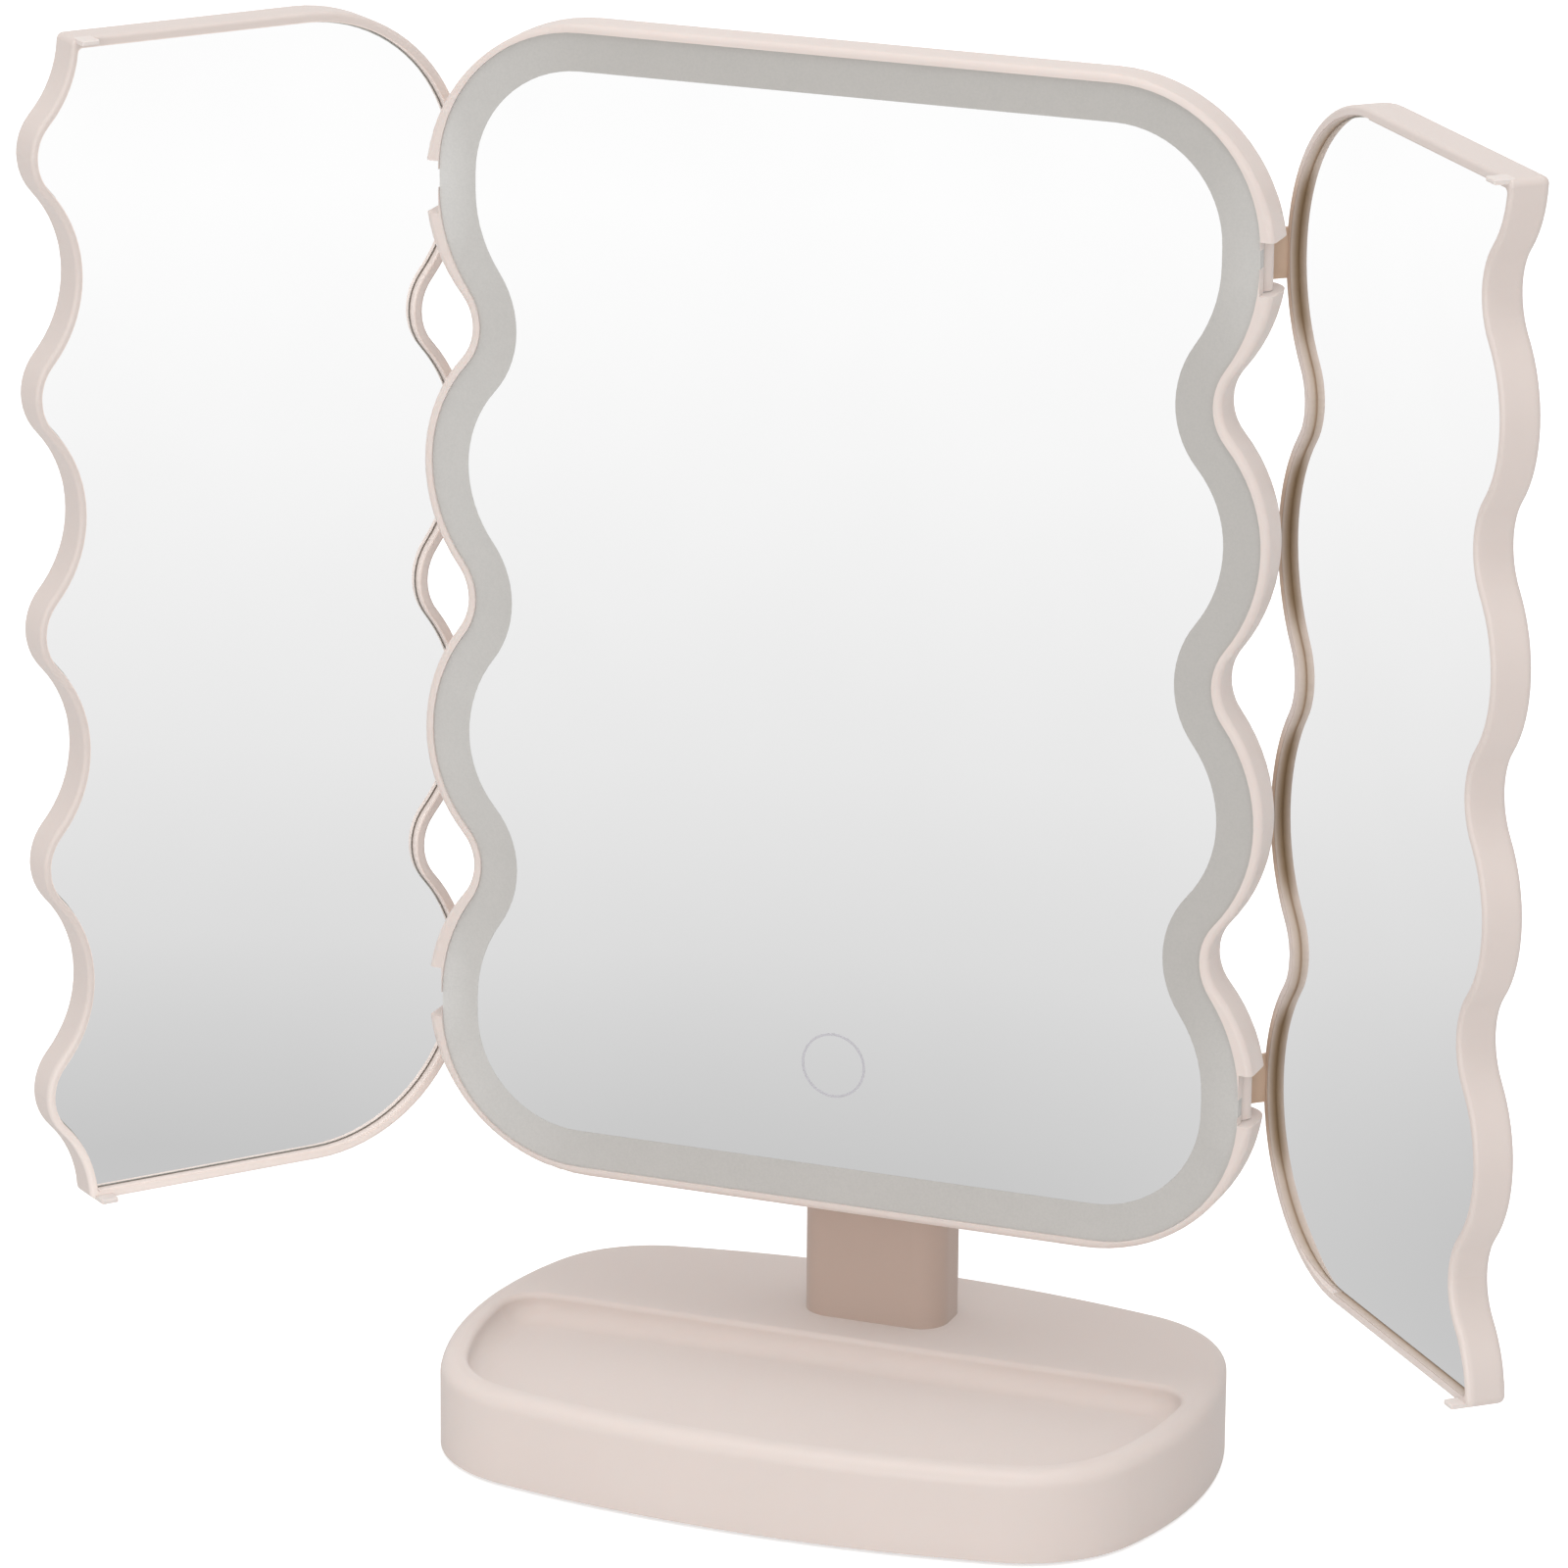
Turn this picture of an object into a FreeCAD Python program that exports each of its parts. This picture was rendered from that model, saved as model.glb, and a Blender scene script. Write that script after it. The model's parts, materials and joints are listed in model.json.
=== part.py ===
"""Lighted tri-fold makeup mirror on a tray base, each piece a solid of its own, in millimetres."""
import FreeCAD, Part
import math
import os

V = FreeCAD.Vector

# Base block: outline of three arc radii, wall and tray
base_width = 158.8
base_depth = 106.4
base_height = 18.8
base_front_radius = 267.0
base_side_radius = 89.5
base_corner_radius = 27.8
base_top_round = 3.1
base_wall = 2.6
tray_rim = 5.6
tray_depth = 5.6
tray_back_margin = 44.2
tray_corner_radius = 8.0
tray_floor_round = 4.2
tray_lip_round = 1.2

# What closes and weights the base
pad_thickness = 0.8
pad_inset = 5.0
plate_thickness = 2.0
base_boss_radius = 3.6
base_boss_side_margin = 23.4
base_boss_front_margin = 26.2
base_boss_back_margin = 24.2
ballast_thickness = 5.0
ballast_side_gap = 6.4
ballast_front_margin = 15.2
ballast_back_gap = 13.0

# Neck post and its clamp
neck_width = 30.9
neck_depth = 16.7
neck_corner_radius = 6.1
neck_back_margin = 25.65
neck_shoulder = 2.0
clamp_width = 46.0
clamp_depth = 21.0
clamp_thickness = 2.4
neck_screw_x = 8.0

# Tilt joint at the top of the neck
tilt_height_on_head = 62.0
tilt_pin_radius = 3.0
tilt_washer_radius = 7.0
tilt_washer_thickness = 0.5
bracket_width = 58.0
bracket_height = 36.0
bracket_thickness = 2.4
bracket_corner_radius = 6.0
ear_thickness = 4.0
cap_radius = 6.2
cap_thickness = 1.6
cap_round = 0.8
bracket_screw_margin = 6.0

# Centre panel: half width at the hinges, and how far the dips and bumps of its wavy sides are off that
head_height = 240.0
head_gap = 31.6
neck_to_face = 30.25
hinge_half_width = 88.8
outer_dip = 10.1
bump_rise = 0.35
middle_dip = 9.05
bump_share = 0.77
head_corner_radius = 35.15
end_length = 35.6
head_depth = 12.6
rim_depth = 6.4
front_round = 1.2
rear_round = 6.0
lip_width = 1.8
shelf_width = 2.8
shelf_thickness = 1.6
cover_wall = 3.6
cover_floor = 1.8

# Glass of the centre panel, light and touch control
glass_recess = 0.6
glass_thickness = 2.0
glass_hinge_step = 1.35
glass_corner_step = 3.15
band_width = 9.6
backer_boss_gap = 0.85
backer_thickness = 1.6
touch_height = 31.3
touch_ring_radius = 6.8
touch_ring_line = 0.5
touch_ring_thickness = 0.15
touch_pad_radius = 8.0
touch_pad_thickness = 0.6
touch_contact_radius = 3.0
led_boss_gap = 0.35
led_board_width = 3.2
led_board_thickness = 1.0
led_count = 64
led_side = 2.4
led_thickness = 0.8
board_left = 20.0
board_right = 36.0
board_below = 15.0
board_above = 9.0
board_thickness = 1.0
board_gap = 0.8
board_post_radius = 2.2
board_post_margin = 3.2
battery_width = 70.0
battery_height = 56.0
battery_thickness = 5.0
battery_round = 1.5
backer_post_radius = 3.0
backer_post_x = 56.0
backer_post_y = 62.0
frame_boss_radius = 2.4
frame_boss_gap = 0.6
frame_screw_x = 40.0

# Charging socket in the rear cover
socket_x = 26.0
socket_width = 9.0
socket_height = 3.2
socket_wall = 0.3
socket_mouth_depth = 5.0
tongue_width = 6.6
tongue_thickness = 0.7
socket_recess = 0.3

# Wing hinges: axis inside the rim, barrel and bent lug on the wing, notch in the rim
lug_reach = 4.3
lug_thickness = 1.4
lug_root = 3.0
arm_thickness = 1.8
hinge_barrel_radius = 2.2
hinge_pin_radius = 0.9
pocket_headroom = 0.3
notch_height = 10.6
notch_end_gap = 0.3
ear_length = 4.6
hinge_block_wall = 1.5
pocket_clearance = 0.4

# Wings, drawn closed on the centre panel and then opened to their rest angles
closed_gap = 3.2
wing_overhang = 3.2
seam_gap = 1.6
seam_lip = 1.15
seam_waves = 5
seam_amplitude = 4.6
seam_bump_share = 0.333
seam_stretch = 1.009
wing_depth = 8.35
wing_floor = 2.0
wing_glass_recess = 1.9
wing_glass_gap = 0.3
wing_glass_round = 1.0
wing_corner_round = 1.5
wing_front_round = 0.8
wing_back_round = 1.5
left_open_angle = 51.5
right_open_angle = 47.25
stop_edge = 0.8
stop_length = 3.6
stop_width = 1.0
stop_height = 3.0
stop_root = 1.3
stop_round = 0.3

# Fasteners and fits
screw_head_radius = 2.1
screw_head_height = 0.9
screw_shank_radius = 1.1
screw_length = 5.0
big_screw_head_radius = 2.8
big_screw_head_height = 1.4
big_screw_shank_radius = 1.5
big_screw_length = 7.0
slot_share = 0.6
slot_width = 0.6
fit_gap = 0.15
running_clearance = 0.05
press_clearance = 0.02
reach = 400.0
touch = 1e-4

# Heights and places worked out from the sizes above
base_bottom = pad_thickness
base_top = base_bottom + base_height
base_floor = base_bottom + plate_thickness
tray_floor = base_top - tray_depth
base_ceiling = base_top - base_wall
base_boss_x = base_width / 2 - base_boss_side_margin
base_boss_y = (base_boss_front_margin - base_depth / 2, base_depth / 2 - base_boss_back_margin)
tray_back_y = base_depth / 2 - tray_back_margin
neck_y = base_depth / 2 - neck_back_margin
face_y = neck_y - neck_to_face
half_height = head_height / 2
head_z = base_top + head_gap + half_height
tilt_z = base_top + head_gap + tilt_height_on_head
tilt_v = tilt_z - head_z
tilt_n = -neck_to_face
bracket_screw_x = bracket_width / 2 - bracket_screw_margin
bracket_screw_rise = bracket_height / 2 - bracket_screw_margin
wave_pitch = (head_height - 2 * end_length) / 3
bump_half_width = hinge_half_width + bump_rise
side_widths = (hinge_half_width - outer_dip, bump_half_width, hinge_half_width - middle_dip)
rim_widths = (hinge_half_width,) + side_widths
glass_widths = (hinge_half_width - glass_hinge_step,) + side_widths
wing_widths = tuple(width + wing_overhang for width in rim_widths)
glass_back = -glass_recess - glass_thickness
backer_back = glass_back - backer_thickness
cover_inside = cover_floor - head_depth
touch_v = touch_height - half_height
board_front = backer_back - board_gap
board_back = board_front - board_thickness
ear_inside = neck_width / 2 + running_clearance + tilt_washer_thickness
wing_glass_front = closed_gap + wing_glass_recess
wing_glass_back = wing_glass_front + glass_thickness
wing_back = closed_gap + wing_depth
wing_floor_n = wing_back - wing_floor
stop_front = closed_gap - stop_height
frame_boss_inset = cover_wall + frame_boss_radius + frame_boss_gap
backer_inset = frame_boss_inset + frame_boss_radius + backer_boss_gap
led_board_inset = frame_boss_inset + frame_boss_radius + led_boss_gap
hinge_u = hinge_half_width - lug_reach
hinge_v = 1.5 * wave_pitch
hinge_n = glass_back - pocket_headroom - hinge_barrel_radius
arm_low = hinge_n - hinge_barrel_radius
arm_high = arm_low + arm_thickness
pocket_u = hinge_u - lug_reach - wing_overhang - pocket_clearance
block_u = pocket_u - hinge_block_wall
notch_half = notch_height / 2
block_half = notch_half + ear_length


def box(low, high):
    """A block between two corners."""
    size = V(*high) - V(*low)
    return Part.makeBox(size.x, size.y, size.z, V(*low))


def cylinder(radius, start, along, length):
    """A round bar from a start point along a direction."""
    return Part.makeCylinder(radius, length, V(*start), V(*along))


def fused(shapes):
    """One solid out of several that meet."""
    joined = shapes[0].multiFuse(shapes[1:])
    return joined.removeSplitter()


def level_edges(shape, height):
    """Edges that lie whole at one height."""
    return [e for e in shape.Edges if all(abs(v.Z - height) < touch for v in e.Vertexes)]


def upright_edges(shape, chosen):
    """Edges that run straight up where the chosen test of x and y says so."""
    found = []
    for edge in shape.Edges:
        ends = edge.Vertexes
        upright = len(ends) == 2 and abs(ends[0].X - ends[1].X) + abs(ends[0].Y - ends[1].Y) < touch
        if upright and chosen(ends[0].X, ends[0].Y):
            found.append(edge)
    return found


def closed_wire(edges):
    """A closed wire out of edges in any order."""
    return Part.Wire(Part.__sortEdges__(edges))


def slab(wire, low, high, inset=0.0):
    """A plate of the wire's outline, drawn in by inset, between two heights."""
    outline = wire.makeOffset2D(-inset) if inset else wire
    face = Part.Face(outline)
    face.translate(V(0, 0, low))
    return face.extrude(V(0, 0, high - low))


def line(start, end):
    """A straight edge in the drawing plane."""
    return Part.makeLine(V(*start, 0), V(*end, 0))


def arc(centre, radius, start, end):
    """An edge on a circle in the drawing plane between two angles in radians."""
    def at(angle):
        return V(centre[0] + radius * math.cos(angle), centre[1] + radius * math.sin(angle), 0)
    return Part.Arc(at(start), at((start + end) / 2), at(end)).toShape()


def rounded_rectangle(width, depth, radius, centre=(0.0, 0.0)):
    """A rectangle with round corners, as a wire."""
    x, y = width / 2 - radius, depth / 2 - radius
    edges = []
    for quarter, (side_x, side_y) in enumerate(((1, 1), (-1, 1), (-1, -1), (1, -1))):
        middle = (centre[0] + side_x * x, centre[1] + side_y * y)
        edges.append(arc(middle, radius, quarter * math.pi / 2, (quarter + 1) * math.pi / 2))
    for side in (1, -1):
        edges.append(line((centre[0] - x, centre[1] + side * depth / 2),
                          (centre[0] + x, centre[1] + side * depth / 2)))
        edges.append(line((centre[0] + side * width / 2, centre[1] - y),
                          (centre[0] + side * width / 2, centre[1] + y)))
    return closed_wire(edges)


def base_outline():
    """The base's outline: bowed front, back and sides joined by tangent corner arcs."""
    half_w, half_d = base_width / 2, base_depth / 2
    front_y = base_front_radius - half_d
    side_x = half_w - base_side_radius
    to_front = base_front_radius - base_corner_radius
    to_side = base_side_radius - base_corner_radius
    span = math.hypot(side_x, front_y)
    along = (to_front ** 2 - to_side ** 2 + span ** 2) / (2 * span)
    across = math.sqrt(to_front ** 2 - along ** 2)
    ux, uy = side_x / span, -front_y / span
    corner = (along * ux - across * uy, front_y + along * uy + across * ux)
    first = math.atan2(corner[1] - front_y, corner[0])
    second = math.atan2(corner[1], corner[0] - side_x)
    turn = math.pi
    x, y = corner
    return closed_wire([
        arc((0, front_y), base_front_radius, -turn - first, first),
        arc((x, y), base_corner_radius, first, second),
        arc((side_x, 0), base_side_radius, second, -second),
        arc((x, -y), base_corner_radius, -second, -first),
        arc((0, -front_y), base_front_radius, -first, turn + first),
        arc((-x, -y), base_corner_radius, turn + first, turn + second),
        arc((-side_x, 0), base_side_radius, turn + second, turn - second),
        arc((-x, y), base_corner_radius, turn - second, turn - first),
    ])


def wave(extremes, top_share):
    """Tangent arcs through extremes, upright at each; top_share is the outer bumps' share of the radii."""
    def on_arc(end, other, turn, radii, share_of_turn):
        outward = 1 if end[0] > other[0] else -1
        radius = radii * (top_share if outward > 0 else 1 - top_share)
        climb = 1 if other[1] > end[1] else -1
        angle = turn * share_of_turn
        inward = outward * radius * (1 - math.cos(angle))
        return V(end[0] - inward, end[1] + climb * radius * math.sin(angle), 0)
    edges = []
    for first, second in zip(extremes, extremes[1:]):
        rise = abs(second[1] - first[1])
        turn = 2 * math.atan2(abs(second[0] - first[0]), rise)
        radii = rise / math.sin(turn)
        join = on_arc(first, second, turn, radii, 1)
        half_first = on_arc(first, second, turn, radii, 0.5)
        half_second = on_arc(second, first, turn, radii, 0.5)
        edges.append(Part.Arc(V(*first, 0), half_first, join).toShape())
        edges.append(Part.Arc(join, half_second, V(*second, 0)).toShape())
    return edges


def right_half(start, widths, corner_radius):
    """Edges of a panel's right half, from the bottom edge at x = start round to the top edge."""
    corner_x = widths[0] - corner_radius
    corner_y = half_height - corner_radius
    last = len(widths) - 1
    extremes = [(widths[last - abs(k)], k * wave_pitch / 2) for k in range(-last, last + 1)]
    edges = wave(extremes, bump_share)
    for side in (-1, 1):
        edges.append(line((start, side * half_height), (corner_x, side * half_height)))
        edges.append(arc((corner_x, side * corner_y), corner_radius, 0, side * math.pi / 2))
        edges.append(line((widths[0], side * hinge_v), (widths[0], side * corner_y)))
    return edges


def flip(shape):
    """The same shape on the left side."""
    return shape.mirror(V(0, 0, 0), V(1, 0, 0))


def head_outline(widths, corner_radius):
    """An outline of the centre panel, seen from the front."""
    right = right_half(0.0, widths, corner_radius)
    return closed_wire(right + [flip(edge) for edge in right])


def wing_outline(side, seam_shift=0.0):
    """A closed wing's outline as drawn on the right: the centre panel's half with a wavy seam edge."""
    count = 2 * seam_waves
    extremes = []
    for k in range(count + 1):
        bulge = seam_amplitude if k % 2 else -seam_amplitude
        level = half_height * (1 - 2 * k / count) * (seam_stretch if 0 < k < count else 1)
        extremes.append((seam_gap / 2 - seam_shift + side * bulge, level))
    share = seam_bump_share if side > 0 else 1 - seam_bump_share
    return closed_wire(right_half(extremes[0][0], wing_widths, head_corner_radius) + wave(extremes, share))


def on_head(shape):
    """Stand a shape drawn as x right, y up, z forward on the centre panel's place in the part."""
    placed = shape.copy()
    placed.rotate(V(0, 0, 0), V(1, 0, 0), 90)
    placed.translate(V(0, face_y, head_z))
    return placed


def on_wing(shape, side):
    """Open a closed right-hand wing piece to its rest angle, on its own side."""
    opening = 180 - (right_open_angle if side > 0 else left_open_angle)
    placed = shape.copy() if side > 0 else flip(shape)
    placed.rotate(V(side * hinge_u, 0, hinge_n), V(0, 1, 0), side * opening)
    return on_head(placed)


def four(x, y):
    """The four places at plus and minus x and y."""
    return [(sx * x, sy * y) for sx in (-1, 1) for sy in (-1, 1)]


def screw(place, along, head_radius, head_height, shank_radius, length):
    """A screw whose head's underside is at place and whose shank runs along a direction."""
    back = [-c for c in along]
    head = cylinder(head_radius, place, back, head_height)
    body = fused([head, cylinder(shank_radius, place, along, length)])
    top = V(*place) + V(*back) * head_height
    half = head_radius * slot_share
    for long_axis in (0, 1, 2):
        if along[long_axis]:
            continue
        reach_of_slot = [slot_width / 2] * 3
        reach_of_slot[long_axis] = half
        depth_axis = [abs(c) for c in along].index(1)
        reach_of_slot[depth_axis] = head_height / 2
        spread = V(*reach_of_slot)
        body = body.cut(box(tuple(top - spread), tuple(top + spread)))
    return body


# Shapes that several pieces share
base_wire = base_outline()
head_wire = head_outline(rim_widths, head_corner_radius)
glass_wire = head_outline(glass_widths, head_corner_radius - glass_corner_step)
head_block = slab(head_wire, -head_depth, 0)
head_block = head_block.makeFillet(front_round, level_edges(head_block, 0))
head_block = head_block.makeFillet(rear_round, level_edges(head_block, -head_depth))
frame_screw_places = four(frame_screw_x, half_height - frame_boss_inset)
frame_screw_places += four(bump_half_width - frame_boss_inset, wave_pitch / 2)
backer_post_places = four(backer_post_x, backer_post_y)
backer_post_places += [(-backer_post_x, 0), (backer_post_x, 0), (0, backer_post_y)]
bracket_screw_places = [(sx * bracket_screw_x, tilt_v + sz * bracket_screw_rise)
                        for sx in (-1, 1) for sz in (-1, 1)]
board_post_places = [(x, touch_v + y)
                     for x in (board_post_margin - board_left, board_right - board_post_margin)
                     for y in (board_post_margin - board_below, board_above - board_post_margin)]
base_screw_places = [(sx * base_boss_x, y) for sx in (-1, 1) for y in base_boss_y]
hinge_places = [(sx, sz) for sx in (-1, 1) for sz in (-1, 1)]


def hinge_box(low_u, low_n, high_n, half_rise):
    """Blocks at the four hinges, from an inner u outwards past the rim."""
    blocks = []
    for side, level in hinge_places:
        block = box((low_u, level * hinge_v - half_rise, low_n), (reach, level * hinge_v + half_rise, high_n))
        blocks.append(block if side > 0 else flip(block))
    return blocks


def base_shell():
    """The base's outer shell: tray in the front, hollow below, bosses for the bottom plate."""
    shell = slab(base_wire, base_bottom, base_top)
    shell = shell.makeFillet(base_top_round, level_edges(shell, base_top))
    tray = slab(base_wire, tray_floor, base_top + tray_depth, tray_rim)
    tray = tray.common(box((-reach, -reach, 0), (reach, tray_back_y, reach)))
    tray = tray.makeFillet(tray_corner_radius, upright_edges(tray, lambda x, y: abs(y - tray_back_y) < touch))
    tray = tray.makeFillet(tray_floor_round, level_edges(tray, tray_floor))
    shell = shell.cut(tray)
    mouth = [e for e in level_edges(shell, base_top) if e.BoundBox.YMax < tray_back_y + touch]
    mouth = [e for e in mouth if tray.distToShape(e)[0] < touch]
    shell = shell.makeFillet(tray_lip_round, mouth)
    low = slab(base_wire, base_bottom, tray_floor - base_wall, base_wall)
    high = slab(base_wire, base_bottom, base_ceiling, base_wall)
    high = high.common(box((-reach, tray_back_y + base_wall, 0), (reach, reach, reach)))
    shell = shell.cut(low.fuse(high))
    bosses = []
    for x, y in base_screw_places:
        ceiling = base_ceiling if y > tray_back_y else tray_floor - base_wall
        bosses.append(cylinder(base_boss_radius, (x, y, base_floor), (0, 0, 1), ceiling - base_floor))
    shell = fused([shell] + bosses)
    for x, y in base_screw_places:
        hole = cylinder(big_screw_shank_radius + press_clearance, (x, y, 0), (0, 0, 1),
                        base_floor + big_screw_length)
        shell = shell.cut(hole)
    stub_hole = slab(neck_stub_wire(), base_ceiling - base_wall, base_top + base_wall, -fit_gap)
    return shell.cut(stub_hole)


def base_plate():
    """The plate that closes the base from below, with recessed screw holes."""
    plate = slab(base_wire, base_bottom, base_floor, base_wall + fit_gap)
    for x, y in base_screw_places:
        foot = (x, y, base_bottom)
        head = cylinder(big_screw_head_radius + fit_gap, foot, (0, 0, 1), big_screw_head_height)
        hole = cylinder(big_screw_shank_radius + fit_gap, foot, (0, 0, 1), plate_thickness)
        plate = plate.cut(head).cut(hole)
    return plate


def base_screws():
    """Screws up through the bottom plate into the shell's bosses."""
    return Part.makeCompound([
        screw((x, y, base_bottom + big_screw_head_height), (0, 0, 1), big_screw_head_radius,
              big_screw_head_height, big_screw_shank_radius, big_screw_length)
        for x, y in base_screw_places])


def ballast():
    """The steel weight on the bottom plate, under the tray."""
    half = base_boss_x - base_boss_radius - ballast_side_gap
    front = ballast_front_margin - base_depth / 2
    back = neck_y - clamp_depth / 2 - ballast_back_gap
    return box((-half, front, base_floor), (half, back, base_floor + ballast_thickness))


def neck_wire():
    """The neck's outline in plan."""
    return rounded_rectangle(neck_width, neck_depth, neck_corner_radius, (0, neck_y))


def neck_stub_wire():
    """The outline of the neck's stub that passes through the base's top."""
    return rounded_rectangle(neck_width - 2 * neck_shoulder, neck_depth - 2 * neck_shoulder,
                             neck_corner_radius - neck_shoulder, (0, neck_y))


def neck_screw_hole(x, clearance, low, length):
    """Room for a neck screw's shank."""
    return cylinder(big_screw_shank_radius + clearance, (x, neck_y, low), (0, 0, 1), length)


def neck_post():
    """The neck: a rounded post with a stub below and the tilt barrel on top."""
    radius = neck_depth / 2
    barrel = cylinder(radius, (-neck_width / 2, neck_y, tilt_z), (1, 0, 0), neck_width)
    rim = [e for e in barrel.Edges if e.Closed]
    barrel = barrel.makeFillet(cap_round, rim)
    stub = slab(neck_stub_wire(), base_ceiling, base_top)
    post = fused([slab(neck_wire(), base_top, tilt_z), stub, barrel])
    bore = cylinder(tilt_pin_radius + running_clearance, (-neck_width, neck_y, tilt_z), (1, 0, 0),
                    2 * neck_width)
    post = post.cut(bore)
    for x in (-neck_screw_x, neck_screw_x):
        post = post.cut(neck_screw_hole(x, press_clearance, base_ceiling, big_screw_length))
    return post


def neck_clamp():
    """The plate under the base's top that clamps the neck down."""
    wire = rounded_rectangle(clamp_width, clamp_depth, neck_shoulder, (0, neck_y))
    clamp = slab(wire, base_ceiling - clamp_thickness, base_ceiling)
    for x in (-neck_screw_x, neck_screw_x):
        clamp = clamp.cut(neck_screw_hole(x, fit_gap, base_ceiling - clamp_thickness, clamp_thickness))
    return clamp


def neck_screws():
    """Screws up through the clamp into the neck."""
    return Part.makeCompound([
        screw((x, neck_y, base_ceiling - clamp_thickness), (0, 0, 1), big_screw_head_radius,
              big_screw_head_height, big_screw_shank_radius, big_screw_length)
        for x in (-neck_screw_x, neck_screw_x)])


def tilt_bracket():
    """The bracket on the centre panel's back: a plate and two ears that straddle the neck's barrel."""
    wire = rounded_rectangle(bracket_width, bracket_height, bracket_corner_radius, (0, tilt_v))
    pieces = [slab(wire, -head_depth - bracket_thickness, -head_depth)]
    radius = neck_depth / 2
    for side in (-1, 1):
        inner = side * ear_inside
        outer = side * (ear_inside + ear_thickness)
        low, high = min(inner, outer), max(inner, outer)
        pieces.append(box((low, tilt_v - radius, tilt_n), (high, tilt_v + radius, -head_depth)))
        pieces.append(cylinder(radius, (low, tilt_v, tilt_n), (1, 0, 0), ear_thickness))
    bracket = fused(pieces)
    bore = cylinder(tilt_pin_radius + press_clearance, (-reach / 2, tilt_v, tilt_n), (1, 0, 0), reach)
    bracket = bracket.cut(bore)
    for x, y in bracket_screw_places:
        hole = cylinder(big_screw_shank_radius + fit_gap, (x, y, -head_depth), (0, 0, -1), bracket_thickness)
        bracket = bracket.cut(hole)
    return on_head(bracket)


def bracket_screws():
    """Screws through the bracket into the rear cover's bosses."""
    return on_head(Part.makeCompound([
        screw((x, y, -head_depth - bracket_thickness), (0, 0, 1), big_screw_head_radius,
              big_screw_head_height, big_screw_shank_radius, big_screw_length)
        for x, y in bracket_screw_places]))


def tilt_pin():
    """The pin of the tilt joint, held in both ears."""
    half = ear_inside + ear_thickness
    return on_head(cylinder(tilt_pin_radius, (-half, tilt_v, tilt_n), (1, 0, 0), 2 * half))


def tilt_washers():
    """Friction washers between the ears and the barrel."""
    washers = []
    for start in (-ear_inside, ear_inside - tilt_washer_thickness):
        disc = cylinder(tilt_washer_radius, (start, tilt_v, tilt_n), (1, 0, 0), tilt_washer_thickness)
        hole = cylinder(tilt_pin_radius + fit_gap, (start, tilt_v, tilt_n), (1, 0, 0), tilt_washer_thickness)
        washers.append(disc.cut(hole))
    return on_head(Part.makeCompound(washers))


def tilt_caps():
    """Round caps over the pin's ends."""
    caps = []
    outer = ear_inside + ear_thickness
    for side in (-1, 1):
        cap = cylinder(cap_radius, (side * outer, tilt_v, tilt_n), (side, 0, 0), cap_thickness)
        end = outer + cap_thickness
        far = [e for e in cap.Edges if e.Closed and abs(abs(e.CenterOfMass.x) - end) < touch]
        caps.append(cap.makeFillet(cap_round, far))
    return on_head(Part.makeCompound(caps))


def head_frame():
    """The centre panel's rim with its shelf for the glass, screw bosses and hinge blocks."""
    front = head_block.common(box((-reach, -reach, -rim_depth), (reach, reach, closed_gap)))
    shelf_back = glass_back - shelf_thickness
    front = front.cut(slab(glass_wire, glass_back, closed_gap, lip_width))
    front = front.cut(slab(glass_wire, -head_depth, glass_back, lip_width + shelf_width))
    front = front.cut(slab(glass_wire, -head_depth, shelf_back, lip_width))
    blocks = [head_block.common(b) for b in hinge_box(block_u, -reach, glass_back, block_half)]
    bosses = [cylinder(frame_boss_radius, (x, y, cover_inside), (0, 0, 1), glass_back - cover_inside)
              for x, y in frame_screw_places]
    frame = fused([front] + blocks + bosses)
    for pocket in hinge_box(pocket_u, -reach, glass_back, notch_half):
        frame = frame.cut(pocket)
    for notch in hinge_box(glass_widths[0] - lip_width, glass_back - touch, reach, notch_half):
        frame = frame.cut(notch)
    for side, level in hinge_places:
        low = level * hinge_v - block_half + hinge_block_wall
        hole = cylinder(hinge_pin_radius + press_clearance, (side * hinge_u, low, hinge_n), (0, 1, 0),
                        2 * (block_half - hinge_block_wall))
        frame = frame.cut(hole)
    for x, y in frame_screw_places:
        frame = frame.cut(cylinder(screw_shank_radius + press_clearance, (x, y, cover_inside), (0, 0, 1),
                                   screw_length))
    return on_head(frame)


def rear_cover():
    """The centre panel's back: a shallow cup with posts for what it carries."""
    cover = head_block.common(box((-reach, -reach, -reach), (reach, reach, -rim_depth)))
    cover = cover.cut(slab(head_wire, cover_inside, 0, cover_wall))
    posts = [cylinder(backer_post_radius, (x, y, cover_inside), (0, 0, 1), backer_back - cover_inside)
             for x, y in backer_post_places]
    posts += [cylinder(board_post_radius, (x, y, cover_inside), (0, 0, 1), board_back - cover_inside)
              for x, y in board_post_places]
    posts += [cylinder(base_boss_radius, (x, y, cover_inside), (0, 0, 1), board_back - cover_inside)
              for x, y in bracket_screw_places]
    cover = fused([cover] + posts)
    for block in hinge_box(block_u - fit_gap, -reach, 0, block_half + fit_gap):
        cover = cover.cut(block)
    for x, y in frame_screw_places:
        recess = cylinder(screw_head_radius + fit_gap, (x, y, -head_depth), (0, 0, 1), screw_head_height)
        hole = cylinder(screw_shank_radius + fit_gap, (x, y, -head_depth), (0, 0, 1), cover_floor)
        cover = cover.cut(recess).cut(hole)
    for x, y in bracket_screw_places:
        cover = cover.cut(cylinder(big_screw_shank_radius + press_clearance, (x, y, -head_depth), (0, 0, 1),
                                   big_screw_length - bracket_thickness))
    mouth = rounded_rectangle(socket_width + 2 * fit_gap, socket_height + 2 * fit_gap,
                              socket_height / 2 + fit_gap - touch, (socket_x, touch_v))
    return on_head(cover.cut(slab(mouth, -head_depth, cover_inside)))


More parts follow.
